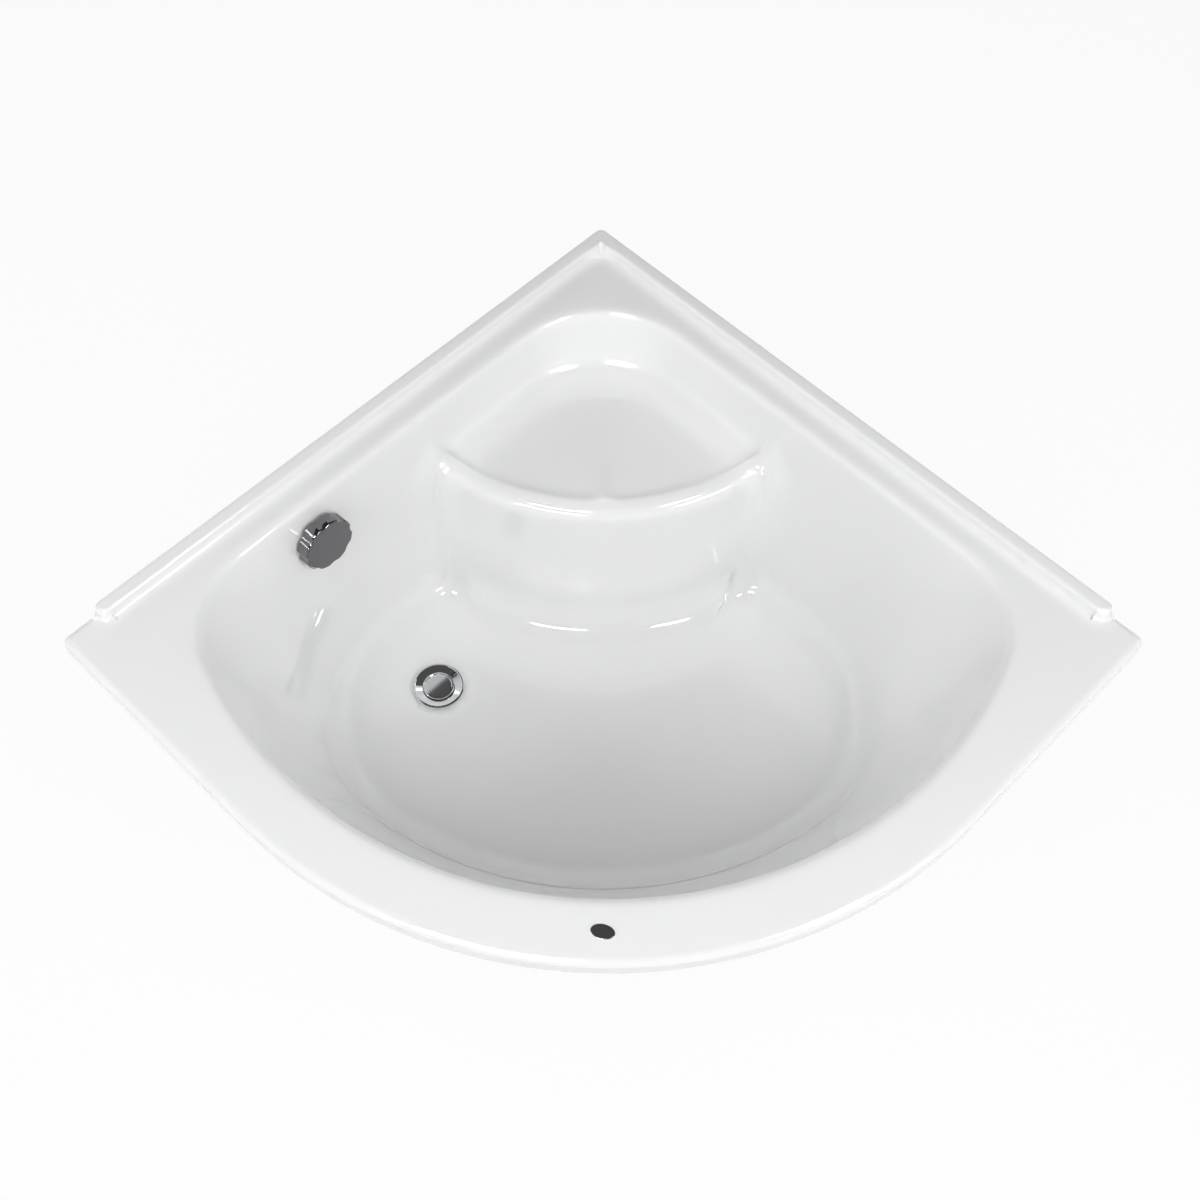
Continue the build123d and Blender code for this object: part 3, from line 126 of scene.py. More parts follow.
# %% [markdown]
# ## Plan shapes as distances
# A vacuum-formed moulding has no sharp seams: every wall runs into the next through a radius. Cutting and
# filleting meshes leaves uneven triangles that show in a gloss finish. So the moulding is written as a signed
# distance, a function that is zero on the surface, positive in the air and negative in the material. Two
# shapes are joined or cut with a radius by one line of arithmetic, and the surface stays smooth.


# %% Joining distances with a radius
def round_join(a, b, radius):
    """Material where a or b has material, with a hollow fillet: inside both bands of width radius, the
    distance is radius minus the distance from the fillet's centre."""
    corner = np.hypot(np.maximum(radius - a, 0), np.maximum(radius - b, 0))
    return np.maximum(radius, np.minimum(a, b)) - corner


def round_meet(a, b, radius):
    """Material where both a and b have material, with a rounded outer edge of that radius."""
    corner = np.hypot(np.maximum(radius + a, 0), np.maximum(radius + b, 0))
    return np.minimum(-radius, np.maximum(a, b)) + corner


def side_frame(x, y):
    """Distances from the two wall sides, the larger first: each half of the tray is folded onto the other."""
    along = ((CORNER_Y - y) + np.abs(x)) * HALF
    inset = ((CORNER_Y - y) - np.abs(x)) * HALF
    return along, inset


def tray_edge(x, y):
    """Distance outwards from the tray's outline: a square of side 900 with one corner rounded by 575 and the
    other three by 10."""
    along, inset = side_frame(x, y)
    arc = np.hypot(along - STRAIGHT, inset - STRAIGHT) - FRONT_RADIUS
    far = np.where((along > STRAIGHT) & (inset > STRAIGHT), arc, np.maximum(along, inset) - SIDE)
    return round_meet(round_meet(-along, -inset, 10.0), far, 10.0)


def basin_edge(x, y, wall_inset, rear_radius, end_radius, arc_radius, apex):
    """Distance outwards from a basin outline: straight beside the walls, an arc at the front and an end arc
    between. Beside an end arc it is the distance from that arc's centre less its radius."""
    along, inset = side_frame(x, y)
    centre = (apex - arc_radius) * HALF
    across = wall_inset + end_radius - centre
    end_along = centre + math.sqrt((arc_radius - end_radius) ** 2 - across**2)
    walls = round_meet(wall_inset - along, wall_inset - inset, rear_radius)
    arc = np.hypot(along - centre, inset - centre) - arc_radius
    u = along - end_along
    v = inset - (wall_inset + end_radius)
    out_along = (end_along - centre) / (arc_radius - end_radius)
    out_inset = across / (arc_radius - end_radius)
    beside_arc = u / out_along
    beside_wall = -(v - beside_arc * out_inset)
    at_end = (beside_arc > 0) & (beside_wall > 0)
    return np.where(at_end, np.hypot(u, v) - end_radius, np.maximum(walls, arc))


def ledge_edge(x, y):
    """Distance outwards from the raised ledge in plan: a band 1 to 20 mm from the wall sides, with round
    ends 50 mm short of the tips."""
    along, inset = side_frame(x, y)
    outer = round_meet(1.0 - along, 1.0 - inset, 9.0)
    inner = round_join(inset - 20.0, along - 20.0, 30.0)
    return round_meet(np.maximum(outer, inner), along - (SIDE - 50.0), 8.5)


def seat_edge(x, y, apex, radius):
    """Distance forwards from a seat arc, which bulges to the front."""
    return np.hypot(x, y - (CORNER_Y - apex + radius)) - radius


# %% [markdown]
# ## The whole moulding as one distance
# The wall leans: its outline at each height is a mix of the opening's outline and the floor's. The seat is a
# block with a rolled front lip. Its top is a shallow dish behind a crest, and a soft ridge runs back from the
# crest's middle, as the soft shade behind the middle of the lip shows.


# %% The seat's top and the leaning walls
CREST = 22.0


def soft_step(value):
    """0 below 0, 1 above 1, and a smooth run between."""
    value = np.clip(value, 0.0, 1.0)
    return value * value * (3 - 2 * value)


def seat_shape(x, y):
    """Height of the seat's top. From a crest 22 mm behind the front arc it slopes forwards at 3 in 10 and
    dips behind into a shallow dish. A soft ridge runs back from the crest's middle and fades."""
    behind_lip = -seat_edge(x, y, SEAT_APEX, SEAT_RADIUS)
    ahead = CREST - behind_lip
    slope_down = 0.3 * ((ahead + np.hypot(ahead, 3.0)) / 2)
    dish = soft_step((behind_lip - CREST) / 9.0) * (3.9 - 1.0 * soft_step((behind_lip - 90.0) / 90.0))
    fade = soft_step((behind_lip - 17.0) / 12.0) * (1 - soft_step((behind_lip - 34.0) / 60.0))
    ridge = 5.0 * np.exp(-((x / (9.0 + 0.14 * behind_lip)) ** 2)) * fade
    return SEAT - slope_down - dish + ridge


# Wall inset, rear radius, end radius, arc radius and apex of the basin's outline at the deck and at the floor
OPENING = (56.0, 142.0, 130.0, 515.0, 960.0)
FLOOR_OUTLINE = (88.0, 110.0, 200.0, 480.0, 808.0)


def wall_distance(x, y, z):
    """Distance into the basin from its leaning wall: the mixed outline distance times the lean's cosine."""
    at_deck = -basin_edge(x, y, *OPENING)
    at_floor = -basin_edge(x, y, *FLOOR_OUTLINE)
    share = np.clip((DECK - z) / (DECK - FLOOR), -0.2, 1.2)
    lean = (at_deck - at_floor) / (DECK - FLOOR)
    return ((1 - share) * at_deck + share * at_floor) / np.sqrt(1 + lean**2)


def seat_distance(x, y, z):
    """Distance from the seat: its top and its front, whose arc changes with the height, meet in the lip."""
    share = np.clip((SEAT - z) / (SEAT - FLOOR + 22.0), 0.0, 1.1)
    apex = SEAT_APEX + (FOOT_APEX - SEAT_APEX) * share
    radius = SEAT_RADIUS - (SEAT_RADIUS - FOOT_RADIUS) * share
    return round_meet(z - seat_shape(x, y), seat_edge(x, y, apex, radius), LIP_RADIUS)


print("seat: crest", CREST, "mm behind the front arc, lip of radius", LIP_RADIUS, "mm")


# %% The moulding's surface, and points moved onto it
def moulding(x, y, z):
    """The distance from the moulding's upper surface, positive in the air above it. The floor has a recess
    4 mm deep for the drain. The seat joins the walls with a radius of 44 at its front and 18 on its top."""
    recess = soft_step((46.0 - np.hypot(x - DRAIN[0], y - DRAIN[1])) / 8.0)
    floor = z - FLOOR + 4.0 * recess
    tub = round_join(floor, wall_distance(x, y, z), 38.0)
    on_seat = soft_step((6.0 - seat_edge(x, y, SEAT_APEX, SEAT_RADIUS)) / 30.0)
    seam = 44.0 - 26.0 * on_seat * soft_step((z - 330.0) / 60.0)
    tub = round_join(tub, seat_distance(x, y, z), seam)
    body = round_meet(tub, z - DECK, EDGE_RADIUS)
    body = round_meet(body, tray_edge(x, y), EDGE_RADIUS)
    ledge = round_meet(ledge_edge(x, y), z - (DECK + LEDGE_HEIGHT), 4.0)
    return round_join(body, ledge, 3.5)


def slope(points):
    """The distance's gradient at points, by central differences, and the same as unit vectors."""
    step = 0.05
    x, y, z = points[..., 0], points[..., 1], points[..., 2]
    gradient = np.stack(
        [
            moulding(x + step, y, z) - moulding(x - step, y, z),
            moulding(x, y + step, z) - moulding(x, y - step, z),
            moulding(x, y, z + step) - moulding(x, y, z - step),
        ],
        axis=-1,
    )
    length = np.linalg.norm(gradient, axis=-1, keepdims=True)
    return gradient / (2 * step), gradient / np.maximum(length, 1e-9)


def onto_surface(points, level=0.0, rounds=14):
    """Moves points along the gradient until the distance there is level: Newton's steps on whole arrays."""
    points = points.copy()
    for _ in range(rounds):
        gradient, _direction = slope(points)
        size = np.maximum((gradient**2).sum(-1), 0.05)
        miss = moulding(points[..., 0], points[..., 1], points[..., 2]) - level
        points -= 0.85 * gradient * (miss / size)[..., None]
    return points


print("distance at the floor's middle", round(float(moulding(*MIDDLE, FLOOR)), 6), "mm")


# %% [markdown]
# ## A grid that follows the moulding
# The grid has columns and rings. A column starts at the skirt under the rim and runs over the ledge and the
# deck, down the wall and across the floor to its middle. The columns crowd at the ledge's ends and at the
# tray's tips, where the outline turns quickly, and the rings crowd in the bends of each column.

# %% Columns around the floor's middle
def reach(angles, edge, level):
    """Distance from the floor's middle at which edge(x, y) is level, along each angle, by halving an
    interval."""
    low = np.zeros_like(angles)
    high = np.full_like(angles, 1200.0)
    for _ in range(44):
        between = (low + high) / 2
        outside = edge(MIDDLE[0] + between * np.cos(angles), MIDDLE[1] + between * np.sin(angles)) > level
        high = np.where(outside, between, high)
        low = np.where(outside, low, between)
    return (low + high) / 2


def crowded_angles(count):
    """Angles once around, in equal shares of a density's running sum. The density is 1 and rises at the tips
    (tip), at the ledge's ends (end) and at the wall corner."""
    fine = np.linspace(0, 2 * math.pi, 20001)
    density = np.ones_like(fine)
    tip = math.atan2(CORNER_Y - SIDE * HALF - MIDDLE[1], SIDE * HALF)
    end = math.atan2(CORNER_Y - 862.0 * HALF - MIDDLE[1], 838.0 * HALF)
    for place, boost, width in ((tip, 9.0, 0.020), (end, 9.0, 0.026), (math.pi / 2, 4.0, 0.035)):
        for angle in (place, math.pi - place):
            away = np.abs(np.angle(np.exp(1j * (fine - angle))))
            density += boost * np.exp(-((away / width) ** 4)) / (2 if place == math.pi / 2 else 1)
    running = np.concatenate([[0], np.cumsum((density[1:] + density[:-1]) / 2)])
    running /= running[-1]
    return np.interp((np.arange(count) + 0.5) / count, running, fine)


column_count = 372
angles = crowded_angles(column_count)
directions = np.stack([np.cos(angles), np.sin(angles)], axis=-1)
print(column_count, "columns, closest", round(float(np.degrees(np.diff(angles).min())), 2), "degrees apart")

# %% [markdown]
# The rim has the same number of rings everywhere. Beside the walls they climb over the ledge, along the front
# they crowd on the plain rounded edge, and a smooth mix joins the two at the ledge's ends.

# %% Rings over the skirt, the ledge and the deck
arc_quarter = np.linspace(0, math.pi / 2, 6)
ledge_profile = np.array(
    [(0.0, 476.0), (0.0, 484.0), (0.2, 490.0), (0.6, 493.5), (1.0, 497.0), (1.0, 504.0), (1.0, 510.0)]
    + [(1.0 + 4.0 * (1 - math.cos(a)), 514.0 + 4.0 * math.sin(a)) for a in arc_quarter]
    + [(8.5, 518.0), (12.5, 518.0)]
    + [(16.0 + 4.0 * math.sin(a), 514.0 + 4.0 * math.cos(a)) for a in arc_quarter]
    + [(20.0, 509.0), (20.0, 503.5), (21.0, 501.2), (23.5, 500.0), (29.0, 500.0), (37.0, 500.0)]
)
arc_edge = np.linspace(0, math.pi / 2, 9)
plain_profile = np.array(
    [(0.0, 476.0), (0.0, 484.0)]
    + [(9.0 * (1 - math.cos(a)), 491.0 + 9.0 * math.sin(a)) for a in arc_edge]
    + [(inset, 500.0) for inset in np.linspace(10.5, 37.0, len(ledge_profile) - 11)]
)
on_ledge = reach(angles, tray_edge, -10.0)
ledge_along, ledge_inset = side_frame(*(MIDDLE[:, None] + directions.T * on_ledge))
over_ledge = np.clip((851.0 - ledge_along) / 9.0 + 0.5, 0, 1) * (ledge_inset < 12.0)
over_ledge = soft_step(over_ledge)
rim_rings = []
for (low_inset, low_height), (high_inset, high_height) in zip(plain_profile, ledge_profile):
    inset = low_inset + (high_inset - low_inset) * over_ledge
    height = low_height + (high_height - low_height) * over_ledge
    level = np.unique(np.round([low_inset, high_inset], 6))
    radii = [reach(angles, tray_edge, -value) for value in level]
    radius = radii[0]
    if len(radii) == 2:
        radius = radius + (radii[1] - radii[0]) * (inset - level[0]) / (level[1] - level[0])
    rim_rings.append(np.column_stack([MIDDLE + directions * radius[:, None], height]))
rim = np.array(rim_rings)
print("rim rings", rim.shape)

# %% [markdown]
# Inside the rim each column is first drawn with flat faces, as a height over its distance from the middle.
# That line is smoothed a little. Then it is cut into rings: equal shares of its length and its bend lie
# between them, with more rings at the seat's crest.

# %% The line of each column from the deck down into the basin
sample_count = 3000
share = np.linspace(0, 1, sample_count)[None, :]
start_reach = np.linalg.norm(rim[-1][:, :2] - MIDDLE, axis=1)
line = start_reach[:, None] * (1 - share)
line_x = MIDDLE[0] + directions[:, :1] * line
line_y = MIDDLE[1] + directions[:, 1:] * line


def lean_height(over, under, top, bottom):
    """Height of a leaning face at points that lie over mm inside its top edge and under mm inside its
    bottom edge."""
    part = np.clip(over / np.maximum(over - under, 1e-6), 0, 1)
    return top + (bottom - top) * part


outside_opening = basin_edge(line_x, line_y, *OPENING)
outside_floor = basin_edge(line_x, line_y, *FLOOR_OUTLINE)
before_lip = seat_edge(line_x, line_y, SEAT_APEX, SEAT_RADIUS)
before_foot = seat_edge(line_x, line_y, FOOT_APEX, FOOT_RADIUS)
wall_line = lean_height(-outside_opening, -outside_floor, DECK, FLOOR)
seat_line = lean_height(before_lip, before_foot, SEAT, FLOOR - 22.0)
height_line = np.maximum(np.maximum(wall_line, seat_line), FLOOR)
height_line = np.where(outside_opening > 0, DECK, height_line)
print("columns drawn from", DECK, "down to", float(height_line.min()), "mm")


# %% Share the rings out along each column
def equal_shares(weight, values, count):
    """Picks count places in each row so that equal shares of the row's weight lie between them."""
    running = np.concatenate([np.zeros((len(weight), 1)), np.cumsum(weight, axis=1)], axis=1)
    running /= running[:, -1:]
    rows = np.arange(len(weight))[:, None]
    wanted = rows * 2 + np.linspace(0, 1, count)[None, :]
    known = (rows * 2 + running).ravel()
    return [np.interp(wanted.ravel(), known, value.ravel()).reshape(wanted.shape) for value in values]


def column_steps(radius, height):
    """Lengths of the steps along each column."""
    return np.hypot(np.diff(radius, axis=1), np.diff(height, axis=1))


even_radius, even_height = equal_shares(column_steps(line, height_line), (line, height_line), 900)
for _ in range(70):
    even_radius[:, 1:-1] = (even_radius[:, :-2] + 2 * even_radius[:, 1:-1] + even_radius[:, 2:]) / 4
    even_height[:, 1:-1] = (even_height[:, :-2] + 2 * even_height[:, 1:-1] + even_height[:, 2:]) / 4
heading = np.unwrap(np.arctan2(np.diff(even_height, axis=1), -np.diff(even_radius, axis=1)), axis=1)
bend = np.abs(np.diff(heading, axis=1, prepend=heading[:, :1]))
steps = column_steps(even_radius, even_height)
middle_radius = (even_radius[:, 1:] + even_radius[:, :-1]) / 2
middle_height = (even_height[:, 1:] + even_height[:, :-1]) / 2
middle_x = MIDDLE[0] + directions[:, :1] * middle_radius
middle_y = MIDDLE[1] + directions[:, 1:] * middle_radius
from_lip = seat_edge(middle_x, middle_y, SEAT_APEX, SEAT_RADIUS)
near_crest = np.exp(-(((from_lip + 14.0) / 14.0) ** 2)) * soft_step((middle_height - 380.0) / 12.0)
weight = steps * (1 + 2.5 * near_crest) + 26.0 * bend
basin_radius, basin_height = equal_shares(weight, (even_radius, even_height), 98)
basin = np.stack(
    [
        MIDDLE[0] + directions[:, :1] * basin_radius,
        MIDDLE[1] + directions[:, 1:] * basin_radius,
        basin_height,
    ],
    axis=-1,
).transpose(1, 0, 2)
grid = np.concatenate([rim, basin[1:-1]])
print("grid of", grid.shape[0], "rings and", grid.shape[1], "columns")

# %% [markdown]
# Newton's steps put every point on the surface. A few rounds of evening out beside one another, each followed
# by such steps, take the last unevenness from the grid, because a gloss finish would show it.

# %% Move the grid onto the surface
grid = onto_surface(grid)
skirt_bottom = grid[0].copy()
skirt_bottom[:, 2] = DECK - SKIRT_DEPTH
grid[0] = skirt_bottom
for _ in range(3):
    inner = grid[len(rim) : -1]
    around = (np.roll(grid, 1, axis=1) + np.roll(grid, -1, axis=1))[len(rim) : -1]
    relaxed = inner * 0.6 + 0.2 * around
    grid[len(rim) : -1] = onto_surface(relaxed, rounds=6)
left_over = np.abs(moulding(grid[..., 0], grid[..., 1], grid[..., 2])[1:])
print("farthest point from the surface", round(float(left_over.max()), 3), "mm")


# %% [markdown]
# ## Close the shell
# The sheet becomes a shell: a second layer lies under the first, and rims join the two at the skirt's lower
# edge, round the waste hole and round the overflow hole. The holes are hidden by the drain's flange and the
# overflow's bezel, and the grid's points beside them move onto true circles.


# %% The sheet's faces
def put_mesh(name, points, faces, material=None, smooth=True):
    """A mesh object from points in millimetres."""
    mesh = bpy.data.meshes.new(name)
    mesh.from_pydata((np.asarray(points) / 1000).tolist(), [], faces)
    mesh.validate()
    mesh.update()
    piece = bpy.data.objects.new(name, mesh)
    bpy.context.scene.collection.objects.link(piece)
    if smooth:
        mesh.shade_smooth()
    if material:
        mesh.materials.append(material)
    return piece


rings, columns = grid.shape[:2]
centre_point = onto_surface(np.array([[MIDDLE[0], MIDDLE[1], FLOOR]]))
upper = np.concatenate([grid.reshape(-1, 3), centre_point])
index = np.arange(rings * columns).reshape(rings, columns)
beside = np.roll(index, -1, axis=1)
quads = np.stack([index[:-1], index[1:], beside[1:], beside[:-1]], axis=-1).reshape(-1, 4)
fan = np.stack([index[-1], np.full(columns, len(upper) - 1), beside[-1]], axis=-1)
print(len(quads), "faces and a fan of", len(fan), "at the middle")

# %% Cut the two holes
wall_axis = np.array([HALF, -HALF, OVERFLOW_DRAFT])
wall_axis /= np.linalg.norm(wall_axis)


def axis_distance(points, origin, axis):
    """Distance of each point from a line, and its place along the line."""
    offset = points - origin
    along = offset @ axis
    return np.linalg.norm(offset - along[..., None] * axis, axis=-1), along


down_axis = np.array([0.0, 0.0, 1.0])
drain_origin = np.array([DRAIN[0], DRAIN[1], FLOOR])
kept = np.ones(len(quads), bool)
holes = ((drain_origin, down_axis, WASTE_HOLE), (OVERFLOW, wall_axis, OVERFLOW_HOLE))
for origin, axis, radius in holes:
    away, along = axis_distance(upper, origin, axis)
    near = (away < radius) & (np.abs(along) < 20.0)
    kept &= ~near[quads].all(axis=1)
quads = quads[kept]
print(int((~kept).sum()), "faces cut away for the holes")


# %% Move the points beside the holes onto true circles
def open_edges(faces):
    """Directed edges that no neighbouring face runs the other way along."""
    start = faces.ravel()
    end = np.roll(faces, -1, axis=1).ravel()
    size = int(faces.max()) + 1
    forward = start.astype(np.int64) * size + end
    backward = end.astype(np.int64) * size + start
    alone = ~np.isin(forward, backward)
    return start[alone], end[alone]


fan_quads = np.concatenate([fan, fan[:, :1]], axis=1)
start, end = open_edges(quads)
skip = np.isin(start, index[-1]) & np.isin(end, index[-1])
start, end = start[~skip], end[~skip]
for origin, axis, radius in holes:
    rim_points = np.unique(start)
    away, along = axis_distance(upper[rim_points], origin, axis)
    mine = rim_points[(away < radius + 14) & (np.abs(along) < 30.0)]
    away, along = axis_distance(upper[mine], origin, axis)
    foot = origin + along[:, None] * axis
    upper[mine] = foot + (upper[mine] - foot) * (radius / away)[:, None]
upper = onto_surface(upper, rounds=6)
upper[index[0]] = skirt_bottom
print(len(start), "open edges at the skirt and round the holes")

# %% Close the shell with a second layer and rims
_gradient, outward = slope(upper)
outward[index[0], 2] = 0
outward[index[0]] /= np.linalg.norm(outward[index[0]], axis=1, keepdims=True)
lower = upper - THICKNESS * outward
total = len(upper)
rims = np.stack([end, start, start + total, end + total], axis=-1)
faces = (
    quads.tolist()
    + fan.tolist()
    + (quads[:, ::-1] + total).tolist()
    + (fan[:, ::-1] + total).tolist()
    + rims.tolist()
)
tray_moulding = put_mesh("tray_moulding", np.concatenate([upper, lower]), faces)
tray_moulding.data.set_sharp_from_angle(angle=math.radians(60))
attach(tray_moulding, "tray")
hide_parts("tray_shell")
triangles = sum(len(polygon.vertices) - 2 for polygon in tray_moulding.data.polygons)
print("moulding:", len(tray_moulding.data.vertices), "points,", triangles, "triangles")

# %% [markdown]
# ## The glass-fibre layer
# Glass fibre is sprayed onto the back of the acrylic, so it follows the sheet. It starts at the deck's inner
# part and lies a third of a millimetre off the acrylic's back, which keeps the two surfaces apart.

# %% Lay the glass fibre behind the sheet
in_backing = np.ones(total, bool)
in_backing[index[: len(rim) - 2].ravel()] = False
back_quads = quads[in_backing[quads].all(axis=1)]
start, end = open_edges(np.concatenate([back_quads, fan_quads]))
skip = start == end
start, end = start[~skip], end[~skip]
face_side = upper - (THICKNESS + BACKING_GAP) * outward
rough_side = upper - (THICKNESS + BACKING_GAP + BACKING_THICKNESS) * outward
rims = np.stack([end, start, start + total, end + total], axis=-1)
faces = (
    back_quads.tolist()
    + fan.tolist()
    + (back_quads[:, ::-1] + total).tolist()
    + (fan[:, ::-1] + total).tolist()
    + rims.tolist()
)
backing_layer = put_mesh("backing_layer", np.concatenate([face_side, rough_side]), faces)
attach(backing_layer, "tray")
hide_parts("glassfibre_backing")
print("backing:", len(backing_layer.data.vertices), "points")

# %% [markdown]
# ## Finishes
# Each finish is a Principled shader with the colour of the real material; the knob's chrome is darkened as a
# painted reflection. Fine unevenness comes from noise on Object coordinates, so that it stays on the piece in
# every view and in the exported model.


# %% A node group for soft mottling, used by the raw and matt materials
def mottling_group():
    """Colour times a slow noise and a fine noise, and the same noise as a height for a bump."""
    group = bpy.data.node_groups.new("mottling", "ShaderNodeTree")
    for name, kind, default in (
        ("Colour", "NodeSocketColor", (0.5, 0.5, 0.5, 1)),
        ("Vector", "NodeSocketVector", None),
        ("Scale", "NodeSocketFloat", 60.0),
        ("Amount", "NodeSocketFloat", 0.1),
        ("Roughness", "NodeSocketFloat", 0.5),
    ):
        socket = group.interface.new_socket(name=name, in_out="INPUT", socket_type=kind)
        if default is not None:
            socket.default_value = default
    group.interface.new_socket(name="Colour", in_out="OUTPUT", socket_type="NodeSocketColor")
    group.interface.new_socket(name="Height", in_out="OUTPUT", socket_type="NodeSocketFloat")
    group.interface.new_socket(name="Roughness", in_out="OUTPUT", socket_type="NodeSocketFloat")
    tree, links = group.nodes, group.links
    inputs = tree.new("NodeGroupInput")
    outputs = tree.new("NodeGroupOutput")
    noise = tree.new("ShaderNodeTexNoise")
    noise.inputs["Detail"].default_value = 6.0
    noise.inputs["Roughness"].default_value = 0.6
    links.new(inputs.outputs["Vector"], noise.inputs["Vector"])
    links.new(inputs.outputs["Scale"], noise.inputs["Scale"])
    centred = tree.new("ShaderNodeMath")
    centred.operation = "SUBTRACT"
    centred.inputs[1].default_value = 0.5
    links.new(noise.outputs["Fac"], centred.inputs[0])
    amount = tree.new("ShaderNodeMath")
    amount.operation = "MULTIPLY"
    links.new(centred.outputs[0], amount.inputs[0])
    links.new(inputs.outputs["Amount"], amount.inputs[1])
    factor = tree.new("ShaderNodeMath")
    factor.operation = "ADD"
    factor.inputs[1].default_value = 1.0
    links.new(amount.outputs[0], factor.inputs[0])
    shade = tree.new("ShaderNodeVectorMath")
    shade.operation = "SCALE"
    links.new(inputs.outputs["Colour"], shade.inputs[0])
    links.new(factor.outputs[0], shade.inputs["Scale"])
    rough = tree.new("ShaderNodeMath")
    rough.operation = "MULTIPLY_ADD"
    rough.inputs[1].default_value = 0.5
    links.new(amount.outputs[0], rough.inputs[0])
    links.new(inputs.outputs["Roughness"], rough.inputs[2])
    links.new(shade.outputs[0], outputs.inputs["Colour"])
    links.new(noise.outputs["Fac"], outputs.inputs["Height"])
    links.new(rough.outputs[0], outputs.inputs["Roughness"])
    return group


mottling = mottling_group()


# %% A finish from one colour
def finish(name, colour, roughness, metallic=0.0, scale=60.0, amount=0.06, bump=0.0, coat=0.0):
    """A Principled material with the mottling group on Object coordinates."""
    material = bpy.data.materials.new(name)
    material.use_nodes = True
    tree, links = material.node_tree.nodes, material.node_tree.links
    shader = tree["Principled BSDF"]
    shader.inputs["Metallic"].default_value = metallic
    shader.inputs["Coat Weight"].default_value = coat
    shader.inputs["Coat Roughness"].default_value = 0.03
    place = tree.new("ShaderNodeTexCoord")
    group = tree.new("ShaderNodeGroup")
    group.node_tree = mottling
    group.inputs["Colour"].default_value = (*colour, 1)
    group.inputs["Scale"].default_value = scale
    group.inputs["Amount"].default_value = amount
    group.inputs["Roughness"].default_value = roughness
    links.new(place.outputs["Object"], group.inputs["Vector"])
    links.new(group.outputs["Colour"], shader.inputs["Base Color"])
    links.new(group.outputs["Roughness"], shader.inputs["Roughness"])
    if bump:
        relief = tree.new("ShaderNodeBump")
        relief.inputs["Strength"].default_value = bump
        relief.inputs["Distance"].default_value = 0.0006
        links.new(group.outputs["Height"], relief.inputs["Height"])
        links.new(relief.outputs["Normal"], shader.inputs["Normal"])
    return material


print("mottling group:", len(mottling.nodes), "nodes")

# %% [markdown]
# The colours are those of the raw materials: white acrylic with a clear gloss, greenish glass fibre,
# chipboard and softwood, zinc-plated steel, chrome, brass, plastics and rubber. The knob's chrome is painted
# darker: a painted reflection of the dark side of the room, which its slanted face mirrors.

# %% Materials of the parts
materials = {
    "acrylic": finish("gloss_acrylic", (0.84, 0.843, 0.846), 0.07, scale=9, amount=0.012, coat=0.5),
    "glassfibre": finish(
        "glass_fibre_laminate", (0.62, 0.60, 0.46), 0.55, scale=240, amount=0.30, bump=0.5
    ),
    "chipboard": finish("raw_chipboard", (0.48, 0.33, 0.17), 0.85, scale=420, amount=0.75, bump=0.25),
    "softwood": finish("planed_softwood", (0.60, 0.43, 0.24), 0.65, scale=38, amount=0.30, bump=0.1),
    "zinc_steel": finish("zinc_plate", (0.58, 0.60, 0.62), 0.36, metallic=1.0, scale=130, amount=0.16),
    "chrome": finish("polished_chrome", (0.78, 0.79, 0.80), 0.06, metallic=1.0, scale=40, amount=0.02),
    # The knob's chrome colour is darkened to 0.22 as a painted reflection of the dark room its slanted face
    # mirrors.
    "knob_painted_reflection": finish(
        "chrome_darkened_as_painted_reflection", (0.22, 0.216, 0.225), 0.07, metallic=1.0, scale=40, amount=0.03
    ),
    "badge_metal": finish("badge_chrome", (0.62, 0.63, 0.64), 0.12, metallic=1.0, scale=40, amount=0.03),
    "white_plastic": finish("satin_white_plastic", (0.76, 0.76, 0.73), 0.38, scale=70, amount=0.03),
    "black_plastic": finish(
        "satin_black_plastic", (0.016, 0.016, 0.018), 0.42, scale=90, amount=0.2, bump=0.08
    ),
    "grey_plastic": finish("grey_pipe_plastic", (0.34, 0.35, 0.36), 0.42, scale=60, amount=0.05),
    "seal_rubber": finish("black_rubber", (0.018, 0.018, 0.018), 0.75, scale=160, amount=0.25, bump=0.15),
    "brass": finish("turned_brass", (0.62, 0.42, 0.17), 0.22, metallic=1.0, scale=110, amount=0.10),
}
slots = {part["node"]: part["material_slot"] for part in frame["record"]["subparts"]}
for name, node in nodes.items():
    node.data.materials.clear()
    # The overflow knob takes the chrome with the painted dark reflection, not its slot's finish.
    look = "knob_painted_reflection" if name == "overflow_knob" else slots[name]
    node.data.materials.append(materials[look])
tray_moulding.data.materials.append(materials["acrylic"])
backing_layer.data.materials.append(materials["glassfibre"])
print(len(materials), "finishes on", len(nodes), "CAD parts")

# %% [markdown]
# ## Studio
# A pale floor carries a soft shadow. A broad soft box stands above and in front, as in the photograph, where
# the front deck is lightest and the wall corner is greyest, and six soft lamps round the tray fill its walls.
# They don't show in the gloss, so the chrome mirrors a world that is bright at the horizon and dim overhead.
# Small lamps that only the gloss shows make the short glints on the lip and the fillets.


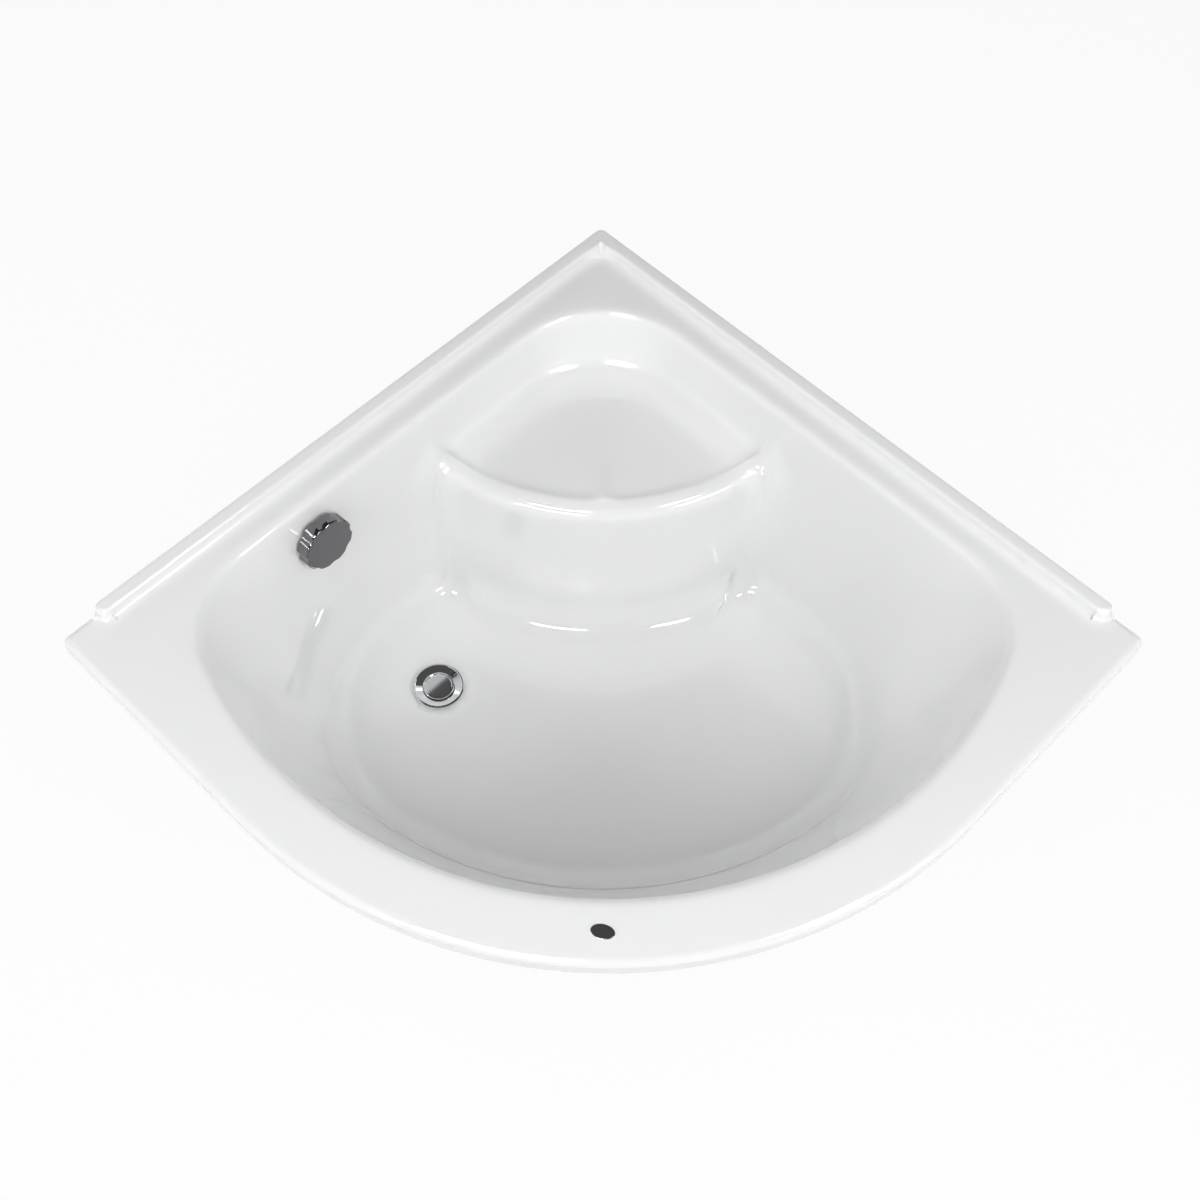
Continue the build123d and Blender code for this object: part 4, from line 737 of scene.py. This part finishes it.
# %% The floor
def floor_material():
    """Diffuse floor for the light and the shadow, mixed with plain white where the camera or a mirror
    sees it."""
    material = bpy.data.materials.new("studio_floor")
    material.use_nodes = True
    tree, links = material.node_tree.nodes, material.node_tree.links
    tree.remove(tree["Principled BSDF"])
    diffuse = tree.new("ShaderNodeBsdfDiffuse")
    diffuse.inputs["Color"].default_value = (0.86, 0.86, 0.86, 1)
    white = tree.new("ShaderNodeEmission")
    white.inputs["Color"].default_value = (1, 1, 1, 1)
    mix = tree.new("ShaderNodeMixShader")
    rays = tree.new("ShaderNodeLightPath")
    seen = tree.new("ShaderNodeMath")
    seen.operation = "MAXIMUM"
    links.new(rays.outputs["Is Camera Ray"], seen.inputs[0])
    links.new(rays.outputs["Is Glossy Ray"], seen.inputs[1])
    part = tree.new("ShaderNodeMath")
    part.operation = "MULTIPLY"
    part.inputs[1].default_value = 0.92
    links.new(seen.outputs[0], part.inputs[0])
    links.new(part.outputs[0], mix.inputs["Fac"])
    links.new(diffuse.outputs[0], mix.inputs[1])
    links.new(white.outputs[0], mix.inputs[2])
    links.new(mix.outputs[0], tree["Material Output"].inputs["Surface"])
    return material


far = 12000.0
studio_floor = put_mesh(
    "studio_floor",
    [(-far, -far, 0), (far, -far, 0), (far, far, 0), (-far, far, 0)],
    [(0, 1, 2, 3)],
    floor_material(),
    smooth=False,
)
print("floor", 2 * far / 1000, "m wide")


# %% The soft lamps
def lamp(name, place, aim, width, depth, power):
    """A rectangular area lamp that looks at a point."""
    data = bpy.data.lights.new(name, "AREA")
    data.shape = "RECTANGLE"
    data.size = width
    data.size_y = depth
    data.energy = power
    light = bpy.data.objects.new(name, data)
    bpy.context.scene.collection.objects.link(light)
    aiming = Vector(aim) - Vector(place)
    light.matrix_world = Matrix.Translation(place) @ aiming.to_track_quat("-Z", "Y").to_matrix().to_4x4()
    return light


AIM = (0.0, -0.1, 0.4)
soft_box = lamp("soft_box", (0.0, -1.15, 2.55), AIM, 3.4, 2.0, 39.0)
soft_lamps = [soft_box]
for side, front, flank, rear in ((-1, 14.0, 4.3, 4.6), (1, 16.2, 2.6, 3.0)):
    soft_lamps.append(lamp(f"front_lamp_{side}", (side * 1.5, -1.5, 1.6), AIM, 0.9, 0.6, front))
    soft_lamps.append(lamp(f"side_lamp_{side}", (side * 2.0, -0.2, 1.3), AIM, 0.9, 0.6, flank))
    soft_lamps.append(lamp(f"rear_lamp_{side}", (side * 1.3, 1.4, 1.4), AIM, 0.9, 0.6, rear))
for light in soft_lamps:
    light.visible_glossy = False
print(len(soft_lamps), "soft lamps,", round(sum(light.data.energy for light in soft_lamps), 1), "W")

# %% [markdown]
# The glints come from narrow lamps in front of the tray. Each is a place and a length in metres, and its
# power goes with its length, so that all are equally bright.

# %% Small lamps that only the gloss shows
GLINT_WIDTH = 0.18
GLINT_POWER = 24.0
GLINTS = (
    ((-0.55, -1.45, 2.40), 0.9),
    ((-0.85, -2.10, 1.45), 1.2),
    ((1.10, -1.05, 2.40), 0.6),
    ((1.60, -1.50, 1.45), 0.9),
)
for number, (place, length) in enumerate(GLINTS):
    glint = lamp(f"glint_lamp_{number}", place, AIM, length, GLINT_WIDTH, GLINT_POWER * length)
    glint.visible_diffuse = False
print(len(GLINTS), "narrow lamps")

# %% [markdown]
# The world is brightest near the horizon and falls off smoothly with the height of the direction, so that the
# chrome has a bright and a dim side.

# %% The world
world = bpy.data.worlds.new("studio_world")
bpy.context.scene.world = world
world.use_nodes = True
world_tree, world_links = world.node_tree.nodes, world.node_tree.links
background = world_tree["Background"]
background.inputs["Color"].default_value = (1, 1, 1, 1)
direction = world_tree.new("ShaderNodeTexCoord")
split = world_tree.new("ShaderNodeSeparateXYZ")
fall = world_tree.new("ShaderNodeMapRange")
fall.interpolation_type = "SMOOTHSTEP"
fall.inputs["From Min"].default_value = 0.10
fall.inputs["From Max"].default_value = 0.50
fall.inputs["To Min"].default_value = 0.6
fall.inputs["To Max"].default_value = 0.08
world_links.new(direction.outputs["Generated"], split.inputs[0])
world_links.new(split.outputs["Z"], fall.inputs["Value"])
world_links.new(fall.outputs["Result"], background.inputs["Strength"])
bpy.context.scene.view_settings.view_transform = "Standard"
print("world strength", fall.inputs["To Min"].default_value, "down to", fall.inputs["To Max"].default_value)
